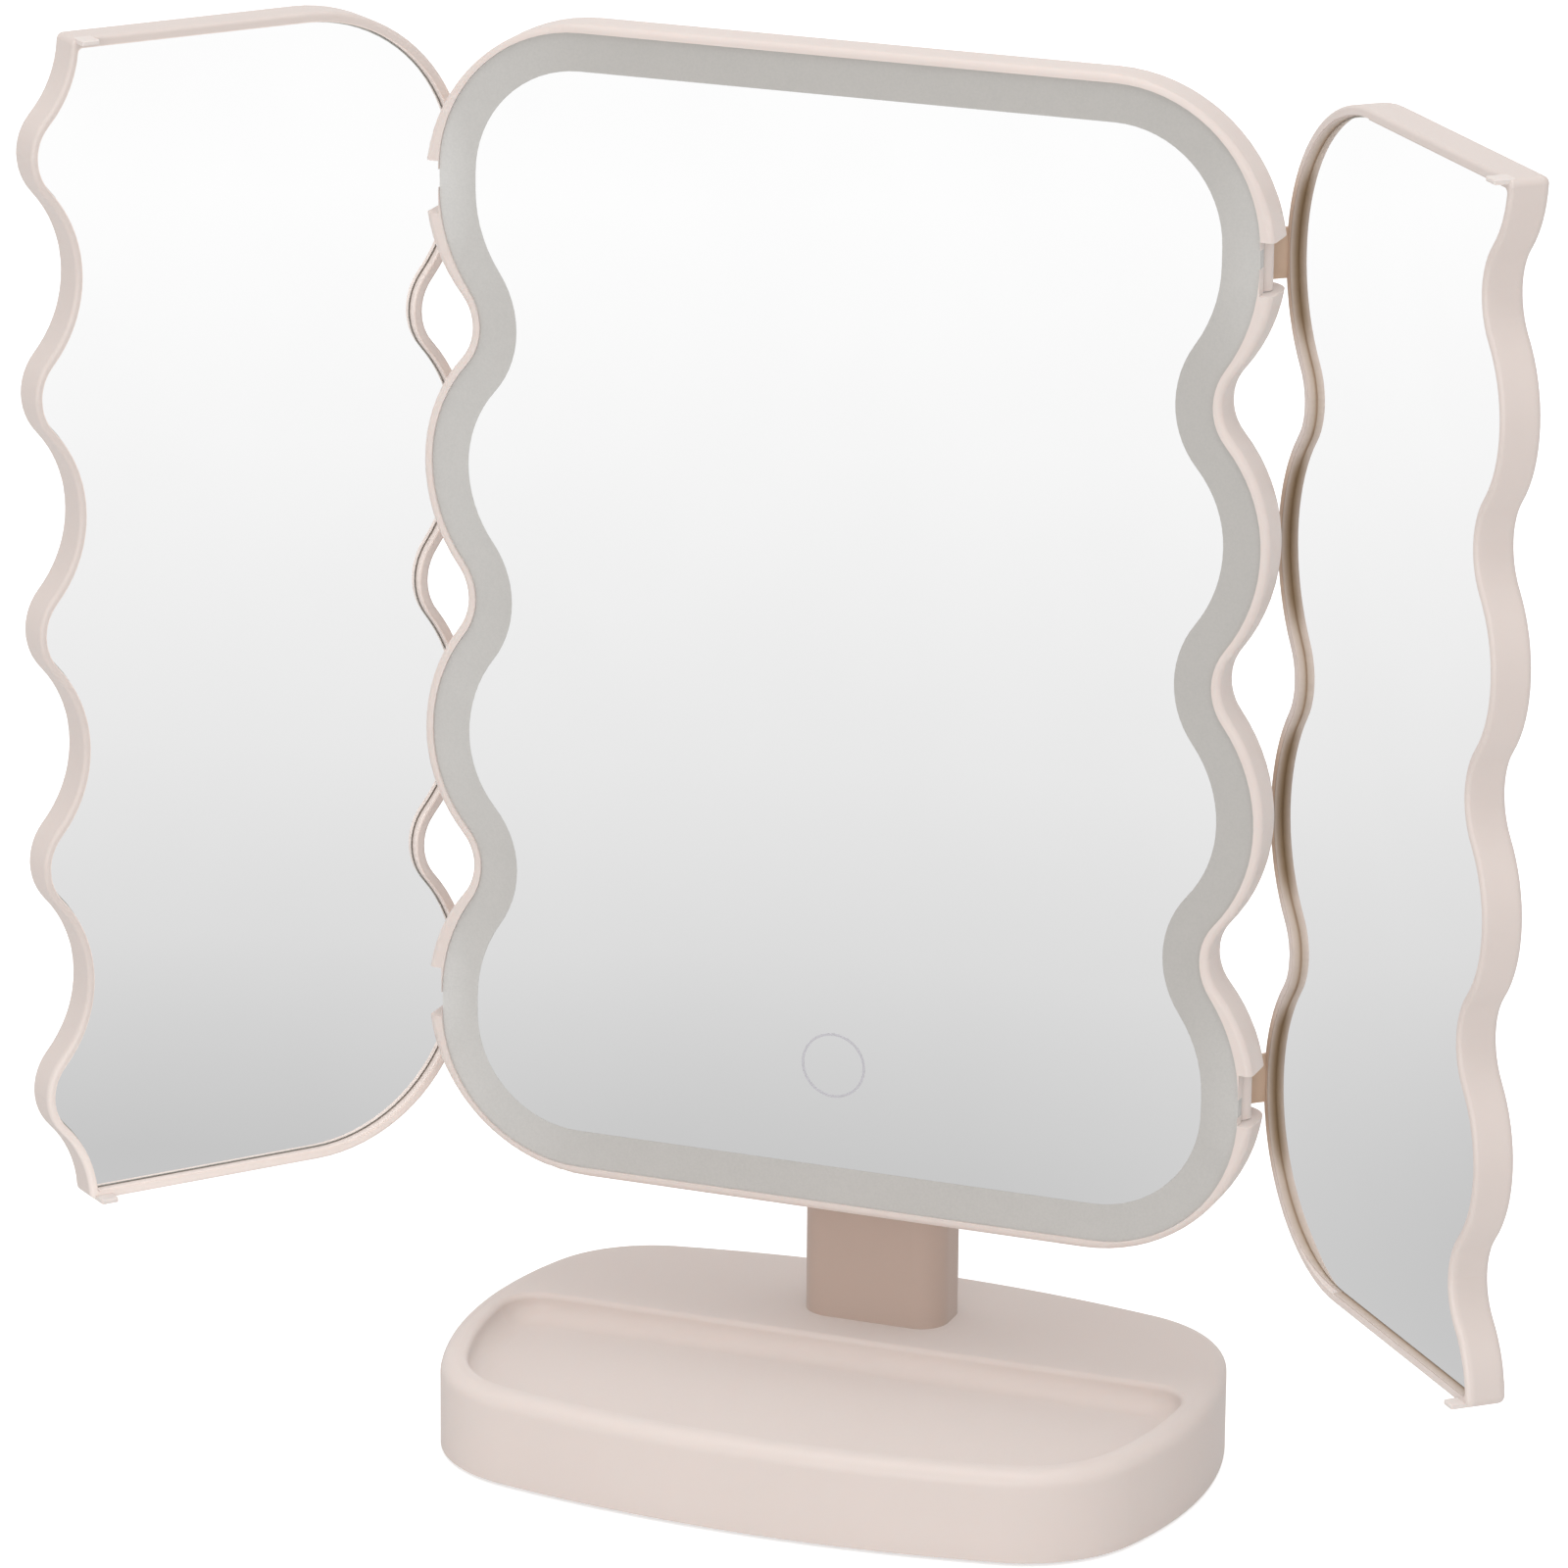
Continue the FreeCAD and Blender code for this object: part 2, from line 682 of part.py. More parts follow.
def head_screws():
    """Screws through the rear cover into the frame's bosses."""
    return on_head(Part.makeCompound([
        screw((x, y, -head_depth + screw_head_height), (0, 0, 1), screw_head_radius, screw_head_height,
              screw_shank_radius, screw_length) for x, y in frame_screw_places]))


def light_band():
    """The frosted band that lights up all round the mirror."""
    outer = slab(glass_wire, glass_back, -glass_recess, lip_width + running_clearance)
    return on_head(outer.cut(slab(glass_wire, glass_back, -glass_recess, band_width)))


def main_mirror():
    """The clear mirror of the centre panel, inside the light band."""
    return on_head(slab(glass_wire, glass_back, -glass_recess, band_width + press_clearance))


def mirror_backer():
    """The board behind the mirror, with a seat for the touch sensor and a hole for its contact."""
    backer = slab(glass_wire, backer_back, glass_back, backer_inset)
    for block in hinge_box(block_u - fit_gap, backer_back, glass_back, block_half + fit_gap):
        backer = backer.cut(block)
    seat = cylinder(touch_pad_radius + fit_gap, (0, touch_v, glass_back), (0, 0, -1), touch_pad_thickness)
    hole = cylinder(touch_contact_radius + fit_gap, (0, touch_v, glass_back), (0, 0, -1), backer_thickness)
    return on_head(backer.cut(seat).cut(hole))


def touch_pad():
    """The sensing disc behind the mirror."""
    return on_head(cylinder(touch_pad_radius, (0, touch_v, glass_back), (0, 0, -1), touch_pad_thickness))


def touch_contact():
    """The soft contact between the sensing disc and the control board."""
    start = glass_back - touch_pad_thickness
    return on_head(cylinder(touch_contact_radius, (0, touch_v, start), (0, 0, -1), start - board_front))


def touch_ring():
    """The thin ring on the glass that marks the touch control."""
    ring = cylinder(touch_ring_radius, (0, touch_v, -glass_recess), (0, 0, 1), touch_ring_thickness)
    hole = cylinder(touch_ring_radius - touch_ring_line, (0, touch_v, -glass_recess), (0, 0, 1),
                    touch_ring_thickness)
    return on_head(ring.cut(hole))


def led_board():
    """The strips of board that carry the lights, all round but for the hinge blocks."""
    top = cover_inside + led_board_thickness
    ring = slab(glass_wire, cover_inside, top, led_board_inset)
    ring = ring.cut(slab(glass_wire, cover_inside, top, led_board_inset + led_board_width))
    for block in hinge_box(block_u - 2 * fit_gap, -reach, 0, block_half + 2 * fit_gap):
        ring = ring.cut(block)
    return on_head(ring)


def led_chips():
    """The lights, evenly spaced along the strips of board and clear of the hinge blocks."""
    middle = led_board_inset + led_board_width / 2
    points = glass_wire.makeOffset2D(-middle).discretize(led_count + 1)[:led_count]
    points = [p for p in points if abs(p.x) < block_u - led_side
              or abs(abs(p.y) - hinge_v) > block_half + led_side]
    low = cover_inside + led_board_thickness
    half = led_side / 2
    return on_head(Part.makeCompound([
        box((p.x - half, p.y - half, low), (p.x + half, p.y + half, low + led_thickness)) for p in points]))


def control_board():
    """The circuit board behind the touch control."""
    return on_head(box((-board_left, touch_v - board_below, board_back),
                       (board_right, touch_v + board_above, board_front)))


def charging_socket():
    """The charging socket: a metal shell with a tongue inside, open to the back."""
    mouth = socket_recess - head_depth
    centre = (socket_x, touch_v)
    round_end = socket_height / 2 - touch
    inner_end = mouth + socket_mouth_depth
    shell = slab(rounded_rectangle(socket_width, socket_height, round_end, centre), mouth, board_back)
    room = slab(rounded_rectangle(socket_width - 2 * socket_wall, socket_height - 2 * socket_wall,
                                  round_end - socket_wall, centre), mouth, inner_end)
    tongue = box((socket_x - tongue_width / 2, touch_v - tongue_thickness / 2, mouth + socket_recess),
                 (socket_x + tongue_width / 2, touch_v + tongue_thickness / 2, inner_end))
    return on_head(fused([shell.cut(room), tongue]))


def battery():
    """The flat battery on the rear cover's floor."""
    pack = box((-battery_width / 2, -battery_height / 2, cover_inside),
               (battery_width / 2, battery_height / 2, cover_inside + battery_thickness))
    return on_head(pack.makeFillet(battery_round, pack.Edges))


def hinge_pins():
    """The four pins of the wing hinges."""
    length = 2 * (block_half - hinge_block_wall)
    return on_head(Part.makeCompound([
        cylinder(hinge_pin_radius, (side * hinge_u, level * hinge_v - length / 2, hinge_n), (0, 1, 0), length)
        for side, level in hinge_places]))


def wing_inside(side, low, high, inset):
    """A plate of a closed wing's outline drawn in by inset, less at the seam, its corners there round."""
    plate = slab(wing_outline(side, lip_width - seam_lip), low, high, inset)
    edge_y = half_height - inset - touch
    corners = upright_edges(plate, lambda x, y: abs(y) > edge_y and x < head_corner_radius)
    return plate.makeFillet(wing_glass_round, corners)


def wing_prism(side, low):
    """A closed wing's outline with round seam corners, from a height up to the wing's back."""
    prism = slab(wing_outline(side), low, wing_back)
    corners = upright_edges(prism, lambda x, y: abs(y) > half_height - touch and x < head_corner_radius)
    return prism.makeFillet(wing_corner_round, corners)


def stop_boxes(side, gap):
    """Room at a closed wing's two seam corners for its stop pads."""
    start = seam_gap / 2 - side * seam_amplitude + stop_edge
    boxes = []
    for level in (-1, 1):
        near = level * (half_height - stop_width - gap)
        far = level * (half_height + stop_width)
        boxes.append(box((start - gap, min(near, far), stop_front),
                         (start + stop_length + gap, max(near, far), closed_gap + stop_root)))
    return boxes


def hinge_lugs(side):
    """A closed wing's two hinge lugs: a plate down from the wing's side, an arm and a barrel."""
    outside = slab(wing_outline(side), arm_low, wing_back)
    half = notch_half - notch_end_gap
    plate_u = wing_widths[0] - lug_thickness
    pieces = []
    for level in (-hinge_v, hinge_v):
        plate = box((plate_u, level - half, arm_low), (reach, level + half, closed_gap + lug_root))
        pieces.append(outside.common(plate))
        arm_end = plate_u + lug_thickness / 2
        pieces.append(box((hinge_u, level - half, arm_low), (arm_end, level + half, arm_high)))
        pieces.append(cylinder(hinge_barrel_radius, (hinge_u, level - half, hinge_n), (0, 1, 0), 2 * half))
    return pieces


def wing_frame(side):
    """A wing's frame: rim, floor and two hinge lugs with their barrels."""
    frame = wing_prism(side, closed_gap)
    frame = frame.makeFillet(wing_front_round, level_edges(frame, closed_gap))
    frame = frame.makeFillet(wing_back_round, level_edges(frame, wing_back))
    frame = frame.cut(wing_inside(side, closed_gap, wing_floor_n, lip_width))
    for seat in stop_boxes(side, press_clearance):
        frame = frame.cut(seat)
    frame = fused([frame] + hinge_lugs(side))
    bore = cylinder(hinge_pin_radius + running_clearance, (hinge_u, -half_height, hinge_n), (0, 1, 0),
                    head_height)
    return on_wing(frame.cut(bore), side)


def wing_mirror(side):
    """A wing's mirror, set below its lip with a narrow groove all round."""
    return on_wing(wing_inside(side, wing_glass_front, wing_glass_back, lip_width + wing_glass_gap), side)


def wing_backer(side):
    """The board between a wing's mirror and its floor."""
    return on_wing(wing_inside(side, wing_glass_back, wing_floor_n, lip_width + fit_gap), side)


def wing_stops(side):
    """Two pads at a wing's seam corners that stand forward and meet the centre panel's rim."""
    prism = wing_prism(side, stop_front)
    pads = []
    for room in stop_boxes(side, 0.0):
        pad = prism.common(room)
        pads.append(pad.makeFillet(stop_round, level_edges(pad, stop_front)))
    return on_wing(Part.makeCompound(pads), side)


parts = {
    "base_shell": base_shell(),
    "base_plate": base_plate(),
    "base_pad": slab(base_wire, 0, base_bottom, pad_inset),
    "base_screws": base_screws(),
    "ballast": ballast(),
    "neck_post": neck_post(),
    "neck_clamp": neck_clamp(),
    "neck_screws": neck_screws(),
    "tilt_bracket": tilt_bracket(),
    "bracket_screws": bracket_screws(),
    "tilt_pin": tilt_pin(),
    "tilt_washers": tilt_washers(),
    "tilt_caps": tilt_caps(),
    "head_frame": head_frame(),
    "rear_cover": rear_cover(),
    "head_screws": head_screws(),
    "light_band": light_band(),
    "main_mirror": main_mirror(),
    "mirror_backer": mirror_backer(),
    "touch_pad": touch_pad(),
    "touch_contact": touch_contact(),
    "touch_ring": touch_ring(),
    "led_board": led_board(),
    "led_chips": led_chips(),
    "control_board": control_board(),
    "charging_socket": charging_socket(),
    "battery": battery(),
    "hinge_pins": hinge_pins(),
}
for side, word in ((-1, "left"), (1, "right")):
    parts[word + "_wing_frame"] = wing_frame(side)
    parts[word + "_wing_mirror"] = wing_mirror(side)
    parts[word + "_wing_backer"] = wing_backer(side)
    parts[word + "_wing_stops"] = wing_stops(side)

os.makedirs("parts", exist_ok=True)
for name, shape in parts.items():
    shape.exportStep(os.path.join("parts", name + ".step"))
    print(name, len(shape.Solids), "solids", round(shape.Volume, 1), "mm3 valid", shape.isValid())
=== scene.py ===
"""Looks of a lighted tri-fold makeup mirror on a tray base, in metres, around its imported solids."""
import json
import math

import bmesh
import bpy
from mathutils import Matrix, Vector

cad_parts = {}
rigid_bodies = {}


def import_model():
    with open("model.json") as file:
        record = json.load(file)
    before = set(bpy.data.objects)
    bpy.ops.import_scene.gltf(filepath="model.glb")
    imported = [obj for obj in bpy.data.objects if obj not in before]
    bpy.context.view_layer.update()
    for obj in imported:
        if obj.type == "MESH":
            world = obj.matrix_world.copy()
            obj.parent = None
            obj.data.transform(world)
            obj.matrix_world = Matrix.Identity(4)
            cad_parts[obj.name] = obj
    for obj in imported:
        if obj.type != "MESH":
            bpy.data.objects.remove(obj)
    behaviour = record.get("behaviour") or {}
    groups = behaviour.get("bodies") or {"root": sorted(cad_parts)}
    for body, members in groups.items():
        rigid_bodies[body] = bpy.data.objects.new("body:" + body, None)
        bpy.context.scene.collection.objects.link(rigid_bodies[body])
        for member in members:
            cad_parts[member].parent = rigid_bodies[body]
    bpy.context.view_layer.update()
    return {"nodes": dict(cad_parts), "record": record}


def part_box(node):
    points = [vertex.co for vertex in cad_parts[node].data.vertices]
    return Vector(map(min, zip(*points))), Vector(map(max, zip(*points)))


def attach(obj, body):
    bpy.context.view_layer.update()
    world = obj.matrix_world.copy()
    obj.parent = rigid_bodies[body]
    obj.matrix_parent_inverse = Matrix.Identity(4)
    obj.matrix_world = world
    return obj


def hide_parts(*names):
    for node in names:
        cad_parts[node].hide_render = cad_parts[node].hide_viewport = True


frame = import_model()
nodes = frame["nodes"]

# Where the photograph was taken from, about the middle of the centre panel's face
view_azimuth = 21.155
view_elevation = 17.488
view_roll = 0.511
view_distance = 1.660850
view_left = 0.010487
view_down = 0.027866
focal_length = 192.73
sensor_width = 36.0

# Places on the object, read from the frame
panel_low, panel_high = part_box("head_frame")
panel_face = Vector((0.0, panel_low.y, (panel_low.z + panel_high.z) / 2))
pin_low, pin_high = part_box("hinge_pins")

# Colours as they look in plain light, linear
blush = (0.724, 0.632, 0.587, 1.0)
deep_blush = (0.545, 0.422, 0.358, 1.0)
silver = (0.985, 0.985, 0.985, 1.0)
etched_grey = (0.462, 0.442, 0.417, 1.0)
# Painted light on the etched band
band_painted_light = (0.66, 0.65, 0.63, 1.0)
etched_dark = (0.30, 0.30, 0.285, 1.0)
ring_grey = (0.52, 0.51, 0.54, 1.0)
edge_glass = (0.80, 0.86, 0.84, 1.0)
steel_grey = (0.60, 0.60, 0.61, 1.0)
rubber_taupe = (0.20, 0.165, 0.155, 1.0)
pad_blush = (0.775, 0.70, 0.66, 1.0)
board_white = (0.80, 0.81, 0.78, 1.0)
board_green = (0.035, 0.16, 0.07, 1.0)
copper_trace = (0.62, 0.36, 0.16, 1.0)
phosphor = (0.86, 0.74, 0.30, 1.0)
foil_grey = (0.58, 0.58, 0.60, 1.0)
backing_grey = (0.22, 0.22, 0.22, 1.0)
nylon_black = (0.035, 0.035, 0.037, 1.0)
# Painted shade in the beads' gap and recess, darkest in the gap
bead_gap_shade = (0.27, 0.20, 0.16, 1.0)
bead_shade_tan = (0.40, 0.275, 0.19, 1.0)
bead_shade_sand = (0.50, 0.405, 0.33, 1.0)
bead_shaded_blush = (0.62, 0.53, 0.48, 1.0)
# Painted shade beside the right wing's hinges (umber on its bead, brown on its lip), painted bounce light
# beside the left's (peach) and on the wings' low lips
fold_shade_umber = (0.20, 0.125, 0.06, 1.0)
fold_shade_brown = (0.58, 0.415, 0.30, 1.0)
fold_painted_bounce = (0.86, 0.70, 0.61, 1.0)
low_lip_painted_light = (0.89, 0.785, 0.73, 1.0)
studio_white = (1.0, 1.0, 1.0, 1.0)
floor_white = (0.9, 0.9, 0.9, 1.0)

# The part of a noise's range that a pattern uses, for a clear and for a soft contrast
clear_noise = (0.3, 0.7)
soft_noise = (0.25, 0.75)

# Moulded finishes by slot: name, colour, tint it drifts to, gloss, grain scale, grain depth, soft light
moulded_rows = {
    "shell_pink": ("satin_blush", blush, 0.975, (0.40, 0.5), 2600.0, 0.02, 0.12),
    "neck_pink": ("deep_blush", deep_blush, 0.965, (0.36, 0.46), 2600.0, 0.02, 0.08),
    "touch_print": ("printed_ring", ring_grey, 0.95, (0.35, 0.5), 3000.0, 0.02, 0.0),
    "led": ("phosphor", phosphor, 0.9, (0.25, 0.4), 1800.0, 0.04, 0.1),
    "rubber": ("grip_rubber", rubber_taupe, 0.85, (0.7, 0.85), 1200.0, 0.3, 0.0),
    "soft_pink": ("stop_rubber", pad_blush, 0.95, (0.5, 0.62), 2000.0, 0.1, 0.12),
    "backing": ("backing_board", backing_grey, 0.8, (0.75, 0.9), 900.0, 0.25, 0.0),
    "nylon": ("nylon_black", nylon_black, 1.4, (0.4, 0.55), 1500.0, 0.08, 0.0),
}
grain_relief = 0.0001
soft_light_reach = (0.0016, 0.0008, 0.0006)

# Metal finishes by slot: name, colour, gloss, scale of the drawn lines, their depth
metal_rows = {
    "steel": ("drawn_steel", steel_grey, (0.22, 0.36), 1400.0, 0.08),
    "cell": ("pouch_foil", foil_grey, (0.3, 0.5), 300.0, 0.2),
    "copper": ("copper_foil", copper_trace, (0.25, 0.4), 600.0, 0.1),
}
streak_tint = 0.86
line_stretch = (0.06, 1.0, 1.0)
line_relief = 0.00005

# Wing shells: tints, look, and how far the painted shade and painted light on their front lips reach from
# hinge line, pane and foot
wing_tints = (0.96, 0.94)
wing_look = ((0.40, 0.5), 2600.0, 0.02, 0.04)
painted_fold_reach = 0.0065
painted_lip_reach = 0.0012
painted_low_reach = 0.05

# Glass panes: haze on the silver, the ground edge and the wing panes' chamfer
haze_scale = 22.0
haze_tint = 0.992
haze_colour_noise = (0.35, 0.65)
haze_gloss_noise = (0.4, 0.75)
pane_gloss = (0.004, 0.02)
edge_grind_scale = 3000.0
edge_tint = 0.9
edge_gloss = (0.12, 0.3)
edge_coat = 0.6
pane_chamfer = 0.00035
pane_edge_limit = math.radians(20)
pane_flat_limit = math.radians(0.5)

# The etched band: where painted light makes it lighter and by how much, then its speckle, gloss and coat
band_left_start = -0.045
band_left_light_share = 0.38
band_foot_reach = 0.06
band_foot_light_share = 0.27
band_hinge_inset = 0.008
band_hinge_squeeze = 0.5
band_hinge_reach = 0.02
band_hinge_light_shares = (0.4, 0.85)
band_speck_scale = 2600.0
band_speck_share = 0.7
band_cloud_scale = 120.0
band_worn_share = 0.14
band_gloss = (0.45, 0.62)
band_grain_depth = 0.12
band_coat = 0.25
band_coat_gloss = 0.12

# The bead that closes the gap round a wing's pane: its section, and where the right one runs out
bead_gap = 0.00006
bead_wall = 0.00026
bead_foot = 0.0004
bead_rise = 0.00175
bead_corner_rises = (0.0, 0.0, 1.0, 1.0)
bead_mirrored_reach = 0.028
bead_runout = 0.016
bead_runout_share = 0.08

# Painted tones of the beads from the gap, 0, to the top, 1: painted shade darkest in the gap, with painted
# light at the left one's top; and the painted shade past the hinge line, easing to the top
left_bead_painted_tones = ((0.0, bead_gap_shade), (0.16, bead_gap_shade), (0.22, blush), (1.0, low_lip_painted_light))
right_bead_painted_tones = ((0.0, bead_shade_tan), (0.15, bead_shade_tan), (0.4, bead_shade_sand), (1.0, bead_shaded_blush))
bead_fold_shade_reach = 0.0042
bead_fold_shade_depth = 0.85
bead_ease_rises = (0.3, 1.0)
bead_ease_shares = (1.0, 0.4)
bead_grain_scale = 2600.0
bead_grain_share = 0.04
bead_gloss = (0.4, 0.55)
bead_specular = 0.2

# Circuit boards: their tracks and their gloss
track_scale = 260.0
track_edge = (0.04, 0.07)
track_share = 0.35
white_track_tint = 0.8
board_grain_scale = 700.0
board_gloss = (0.3, 0.45)

# Screws: the dome of a head, the cross in it, and two sizes
merge_distance = 1e-6
screw_dome_share = 0.22
recess_reach_share = 0.62
recess_width_share = 0.2
recess_depth_share = 0.55
screw_sides = 28
screw_rings = 4
screw_order_digits = 4
small_screw = {"Head Radius": 0.0021, "Head Height": 0.0009, "Shank Radius": 0.0011, "Shank Length": 0.005}
big_screw = {"Head Radius": 0.0028, "Head Height": 0.0014, "Shank Radius": 0.0015, "Shank Length": 0.007}
rearward = (0.0, 1.0, 0.0)
downward = (0.0, 0.0, -1.0)

# Studio: each lamp with its place, its size and its power, and the floor as seen in the mirrors, a glow
# with painted shade towards the object
floor_half = 6.0
floor_glow = 0.55
world_light = 0.61
lamps = {
    "overhead": ((0.0, -0.2, 2.0), 1.6, 14.5),
    "front": ((0.1, -2.0, 0.5), 1.0, 8.4),
    "right": ((1.2, -1.3, 1.3), 1.4, 3.6),
    "left": ((-0.9, -1.3, 1.6), 1.4, 1.6),
}
mirrored_centre = (-0.058, -0.059, 0.0)
mirrored_span = 1.2
mirrored_floor_shade_levels = ((0.087, 0.576), (0.24, 0.730), (0.393, 0.823), (0.546, 0.883), (0.699, 0.939),
                   (0.852, 0.974), (1.005, 1.0))


def feed(tree, socket, value):
    """Set a socket to a plain value, or lead another socket into it."""
    if isinstance(value, bpy.types.NodeSocket):
        tree.links.new(value, socket)
    else:
        socket.default_value = value


def object_place(tree):
    """Places on a piece in its own coordinates."""
    return tree.nodes.new("ShaderNodeTexCoord").outputs["Object"]


def noise(tree, scale, detail=2.0, stretch=None):
    """A noise texture on Object coordinates, stretched along an axis if asked."""
    source = object_place(tree)
    if stretch:
        mapping = tree.nodes.new("ShaderNodeMapping")
        mapping.inputs["Scale"].default_value = stretch
        tree.links.new(source, mapping.inputs["Vector"])
        source = mapping.outputs["Vector"]
    texture = tree.nodes.new("ShaderNodeTexNoise")
    for label, value in (("Vector", source), ("Scale", scale), ("Detail", detail)):
        feed(tree, texture.inputs[label], value)
    return texture.outputs["Fac"]


def math_node(tree, operation, *values):
    """A math node on sockets or plain numbers."""
    node = tree.nodes.new("ShaderNodeMath")
    node.operation = operation
    for socket, value in zip(node.inputs, values):
        feed(tree, socket, value)
    return node.outputs["Value"]


def remap(tree, value, low, high, new_low, new_high):
    """A value moved from one range to another, smoothly and within the new range."""
    node = tree.nodes.new("ShaderNodeMapRange")
    node.interpolation_type = "SMOOTHSTEP"
    ends = {"Value": value, "From Min": low, "From Max": high, "To Min": new_low, "To Max": new_high}
    for label, end in ends.items():
        feed(tree, node.inputs[label], end)
    return node.outputs["Result"]


def blend_colours(tree, share, first, second):
    """A mix of two colours, each a socket or a plain colour; the node's colour sockets go by number."""
    node = tree.nodes.new("ShaderNodeMix")
    node.data_type = "RGBA"
    for place, value in ((0, share), (6, first), (7, second)):
        feed(tree, node.inputs[place], value)
    return node.outputs[2]


def set_stops(ramp, stops):
    """Stops of a colour ramp, each a place along it and a colour."""
    while len(ramp.color_ramp.elements) < len(stops):
        ramp.color_ramp.elements.new(1.0)
    for element, (place, colour) in zip(ramp.color_ramp.elements, stops):
        element.position = place
        element.color = colour


def surface_group(name, values):
    """A shader group with an input for each value, and outputs for colour, roughness and height."""
    group = bpy.data.node_groups.new(name, "ShaderNodeTree")
    for label, value in values.items():
        kind = "NodeSocketFloat" if isinstance(value, float) else "NodeSocketColor"
        group.interface.new_socket(label, in_out="INPUT", socket_type=kind).default_value = value
    group.interface.new_socket("Colour", in_out="OUTPUT", socket_type="NodeSocketColor")
    for label in ("Roughness", "Height"):
        group.interface.new_socket(label, in_out="OUTPUT", socket_type="NodeSocketFloat")
    return group, group.nodes.new("NodeGroupInput").outputs


def lead_out(group, given, drift, relief):
    """At a shared group's outputs, the colour from one noise, roughness and height from another."""
    share = remap(group, drift, *clear_noise, 0.0, 1.0)
    colour = blend_colours(group, share, given["Colour"], given["Shade"])
    rough = remap(group, relief, *soft_noise, given["Gloss Low"], given["Gloss High"])
    result = group.nodes.new("NodeGroupOutput")
    for label, socket in (("Colour", colour), ("Roughness", rough), ("Height", relief)):
        group.links.new(socket, result.inputs[label])


def moulded_grain():
    """Shared look of moulded plastic and rubber: slow drift of colour, fine grain in gloss and height."""
    group, given = surface_group("moulded_grain", {
        "Colour": blush, "Shade": blush, "Gloss Low": 0.4, "Gloss High": 0.5, "Grain Scale": 2500.0,
        "Drift Scale": 14.0,
    })
    drift = noise(group, given["Drift Scale"], 3.0)
    lead_out(group, given, drift, noise(group, given["Grain Scale"]))
    return group


def drawn_lines():
    """Shared look of drawn or rolled metal: fine streaks in colour, gloss and height."""
    group, given = surface_group("drawn_lines", {
        "Colour": steel_grey, "Shade": steel_grey, "Gloss Low": 0.2, "Gloss High": 0.4, "Line Scale": 900.0,
    })
    lines = noise(group, given["Line Scale"], 3.0, line_stretch)
    lead_out(group, given, lines, lines)
    return group


grain_group = moulded_grain()
lines_group = drawn_lines()


def new_material(name):
    """A material with its node tree and its shader."""
    material = bpy.data.materials.new(name)
    material.use_nodes = True
    return material, material.node_tree, material.node_tree.nodes["Principled BSDF"]


def add_bump(tree, shader, height, depth, distance):
    """Small relief on a shader's normal."""
    bump = tree.nodes.new("ShaderNodeBump")
    bump.inputs["Strength"].default_value = depth
    bump.inputs["Distance"].default_value = distance
    tree.links.new(height, bump.inputs["Height"])
    tree.links.new(bump.outputs["Normal"], shader.inputs["Normal"])


def use_group(tree, shader, group, values, depth, distance):
    """Place a shared group in a material and lead it to the shader."""
    node = tree.nodes.new("ShaderNodeGroup")
    node.node_tree = group
    for label, value in values.items():
        node.inputs[label].default_value = value
    tree.links.new(node.outputs["Colour"], shader.inputs["Base Color"])
    tree.links.new(node.outputs["Roughness"], shader.inputs["Roughness"])
    add_bump(tree, shader, node.outputs["Height"], depth, distance)


def tinted(colour, factor):
    """A colour made lighter or darker."""
    return tuple(c * factor for c in colour[:3]) + (1.0,)


def moulded(name, colour, shade, gloss, grain_scale, depth, soft_light):
    """Moulded plastic or rubber with a fine grain."""
    material, tree, shader = new_material(name)
    use_group(tree, shader, grain_group, {
        "Colour": colour, "Shade": shade, "Gloss Low": gloss[0], "Gloss High": gloss[1],
        "Grain Scale": grain_scale,
    }, depth, grain_relief)
    shader.inputs["Subsurface Weight"].default_value = soft_light
    shader.inputs["Subsurface Radius"].default_value = soft_light_reach
    return material


def metal(name, colour, gloss, line_scale, depth):
    """Bare metal with drawn lines."""
    material, tree, shader = new_material(name)
    shader.inputs["Metallic"].default_value = 1.0
    use_group(tree, shader, lines_group, {
        "Colour": colour, "Shade": tinted(colour, streak_tint), "Gloss Low": gloss[0],
        "Gloss High": gloss[1], "Line Scale": line_scale,
    }, depth, line_relief)
    return material


def wing_place(tree, direction, origin, reach, most):
    """How far a place lies past a point in a direction: from 0 at the point to the most at the reach."""
    along = tree.nodes.new("ShaderNodeVectorMath")
    along.operation = "DOT_PRODUCT"
    along.inputs[1].default_value = direction
    tree.links.new(object_place(tree), along.inputs[0])
    start = direction.dot(origin)
    return remap(tree, along.outputs["Value"], start, start + reach, 0.0, most)


def pane_front(side):
    """The way a wing pane's front faces, and a point on it."""
    pane = nodes["right_wing_mirror" if side > 0 else "left_wing_mirror"].data
    front = max((face for face in pane.polygons if face.normal.y < 0), key=lambda face: face.area)
    return front.normal.copy(), front.center.copy()


def past_hinge(tree, side, reach, depth):
    """How far a place on a wing is past its hinge line, from 0 to the given depth."""
    facing = pane_front(side)[0]
    direction = side * Vector((facing.y, -facing.x, 0.0)).normalized()
    hinge_line = Vector((side * pin_high.x, (pin_low.y + pin_high.y) / 2, 0.0))
    return wing_place(tree, direction, hinge_line, reach, depth)


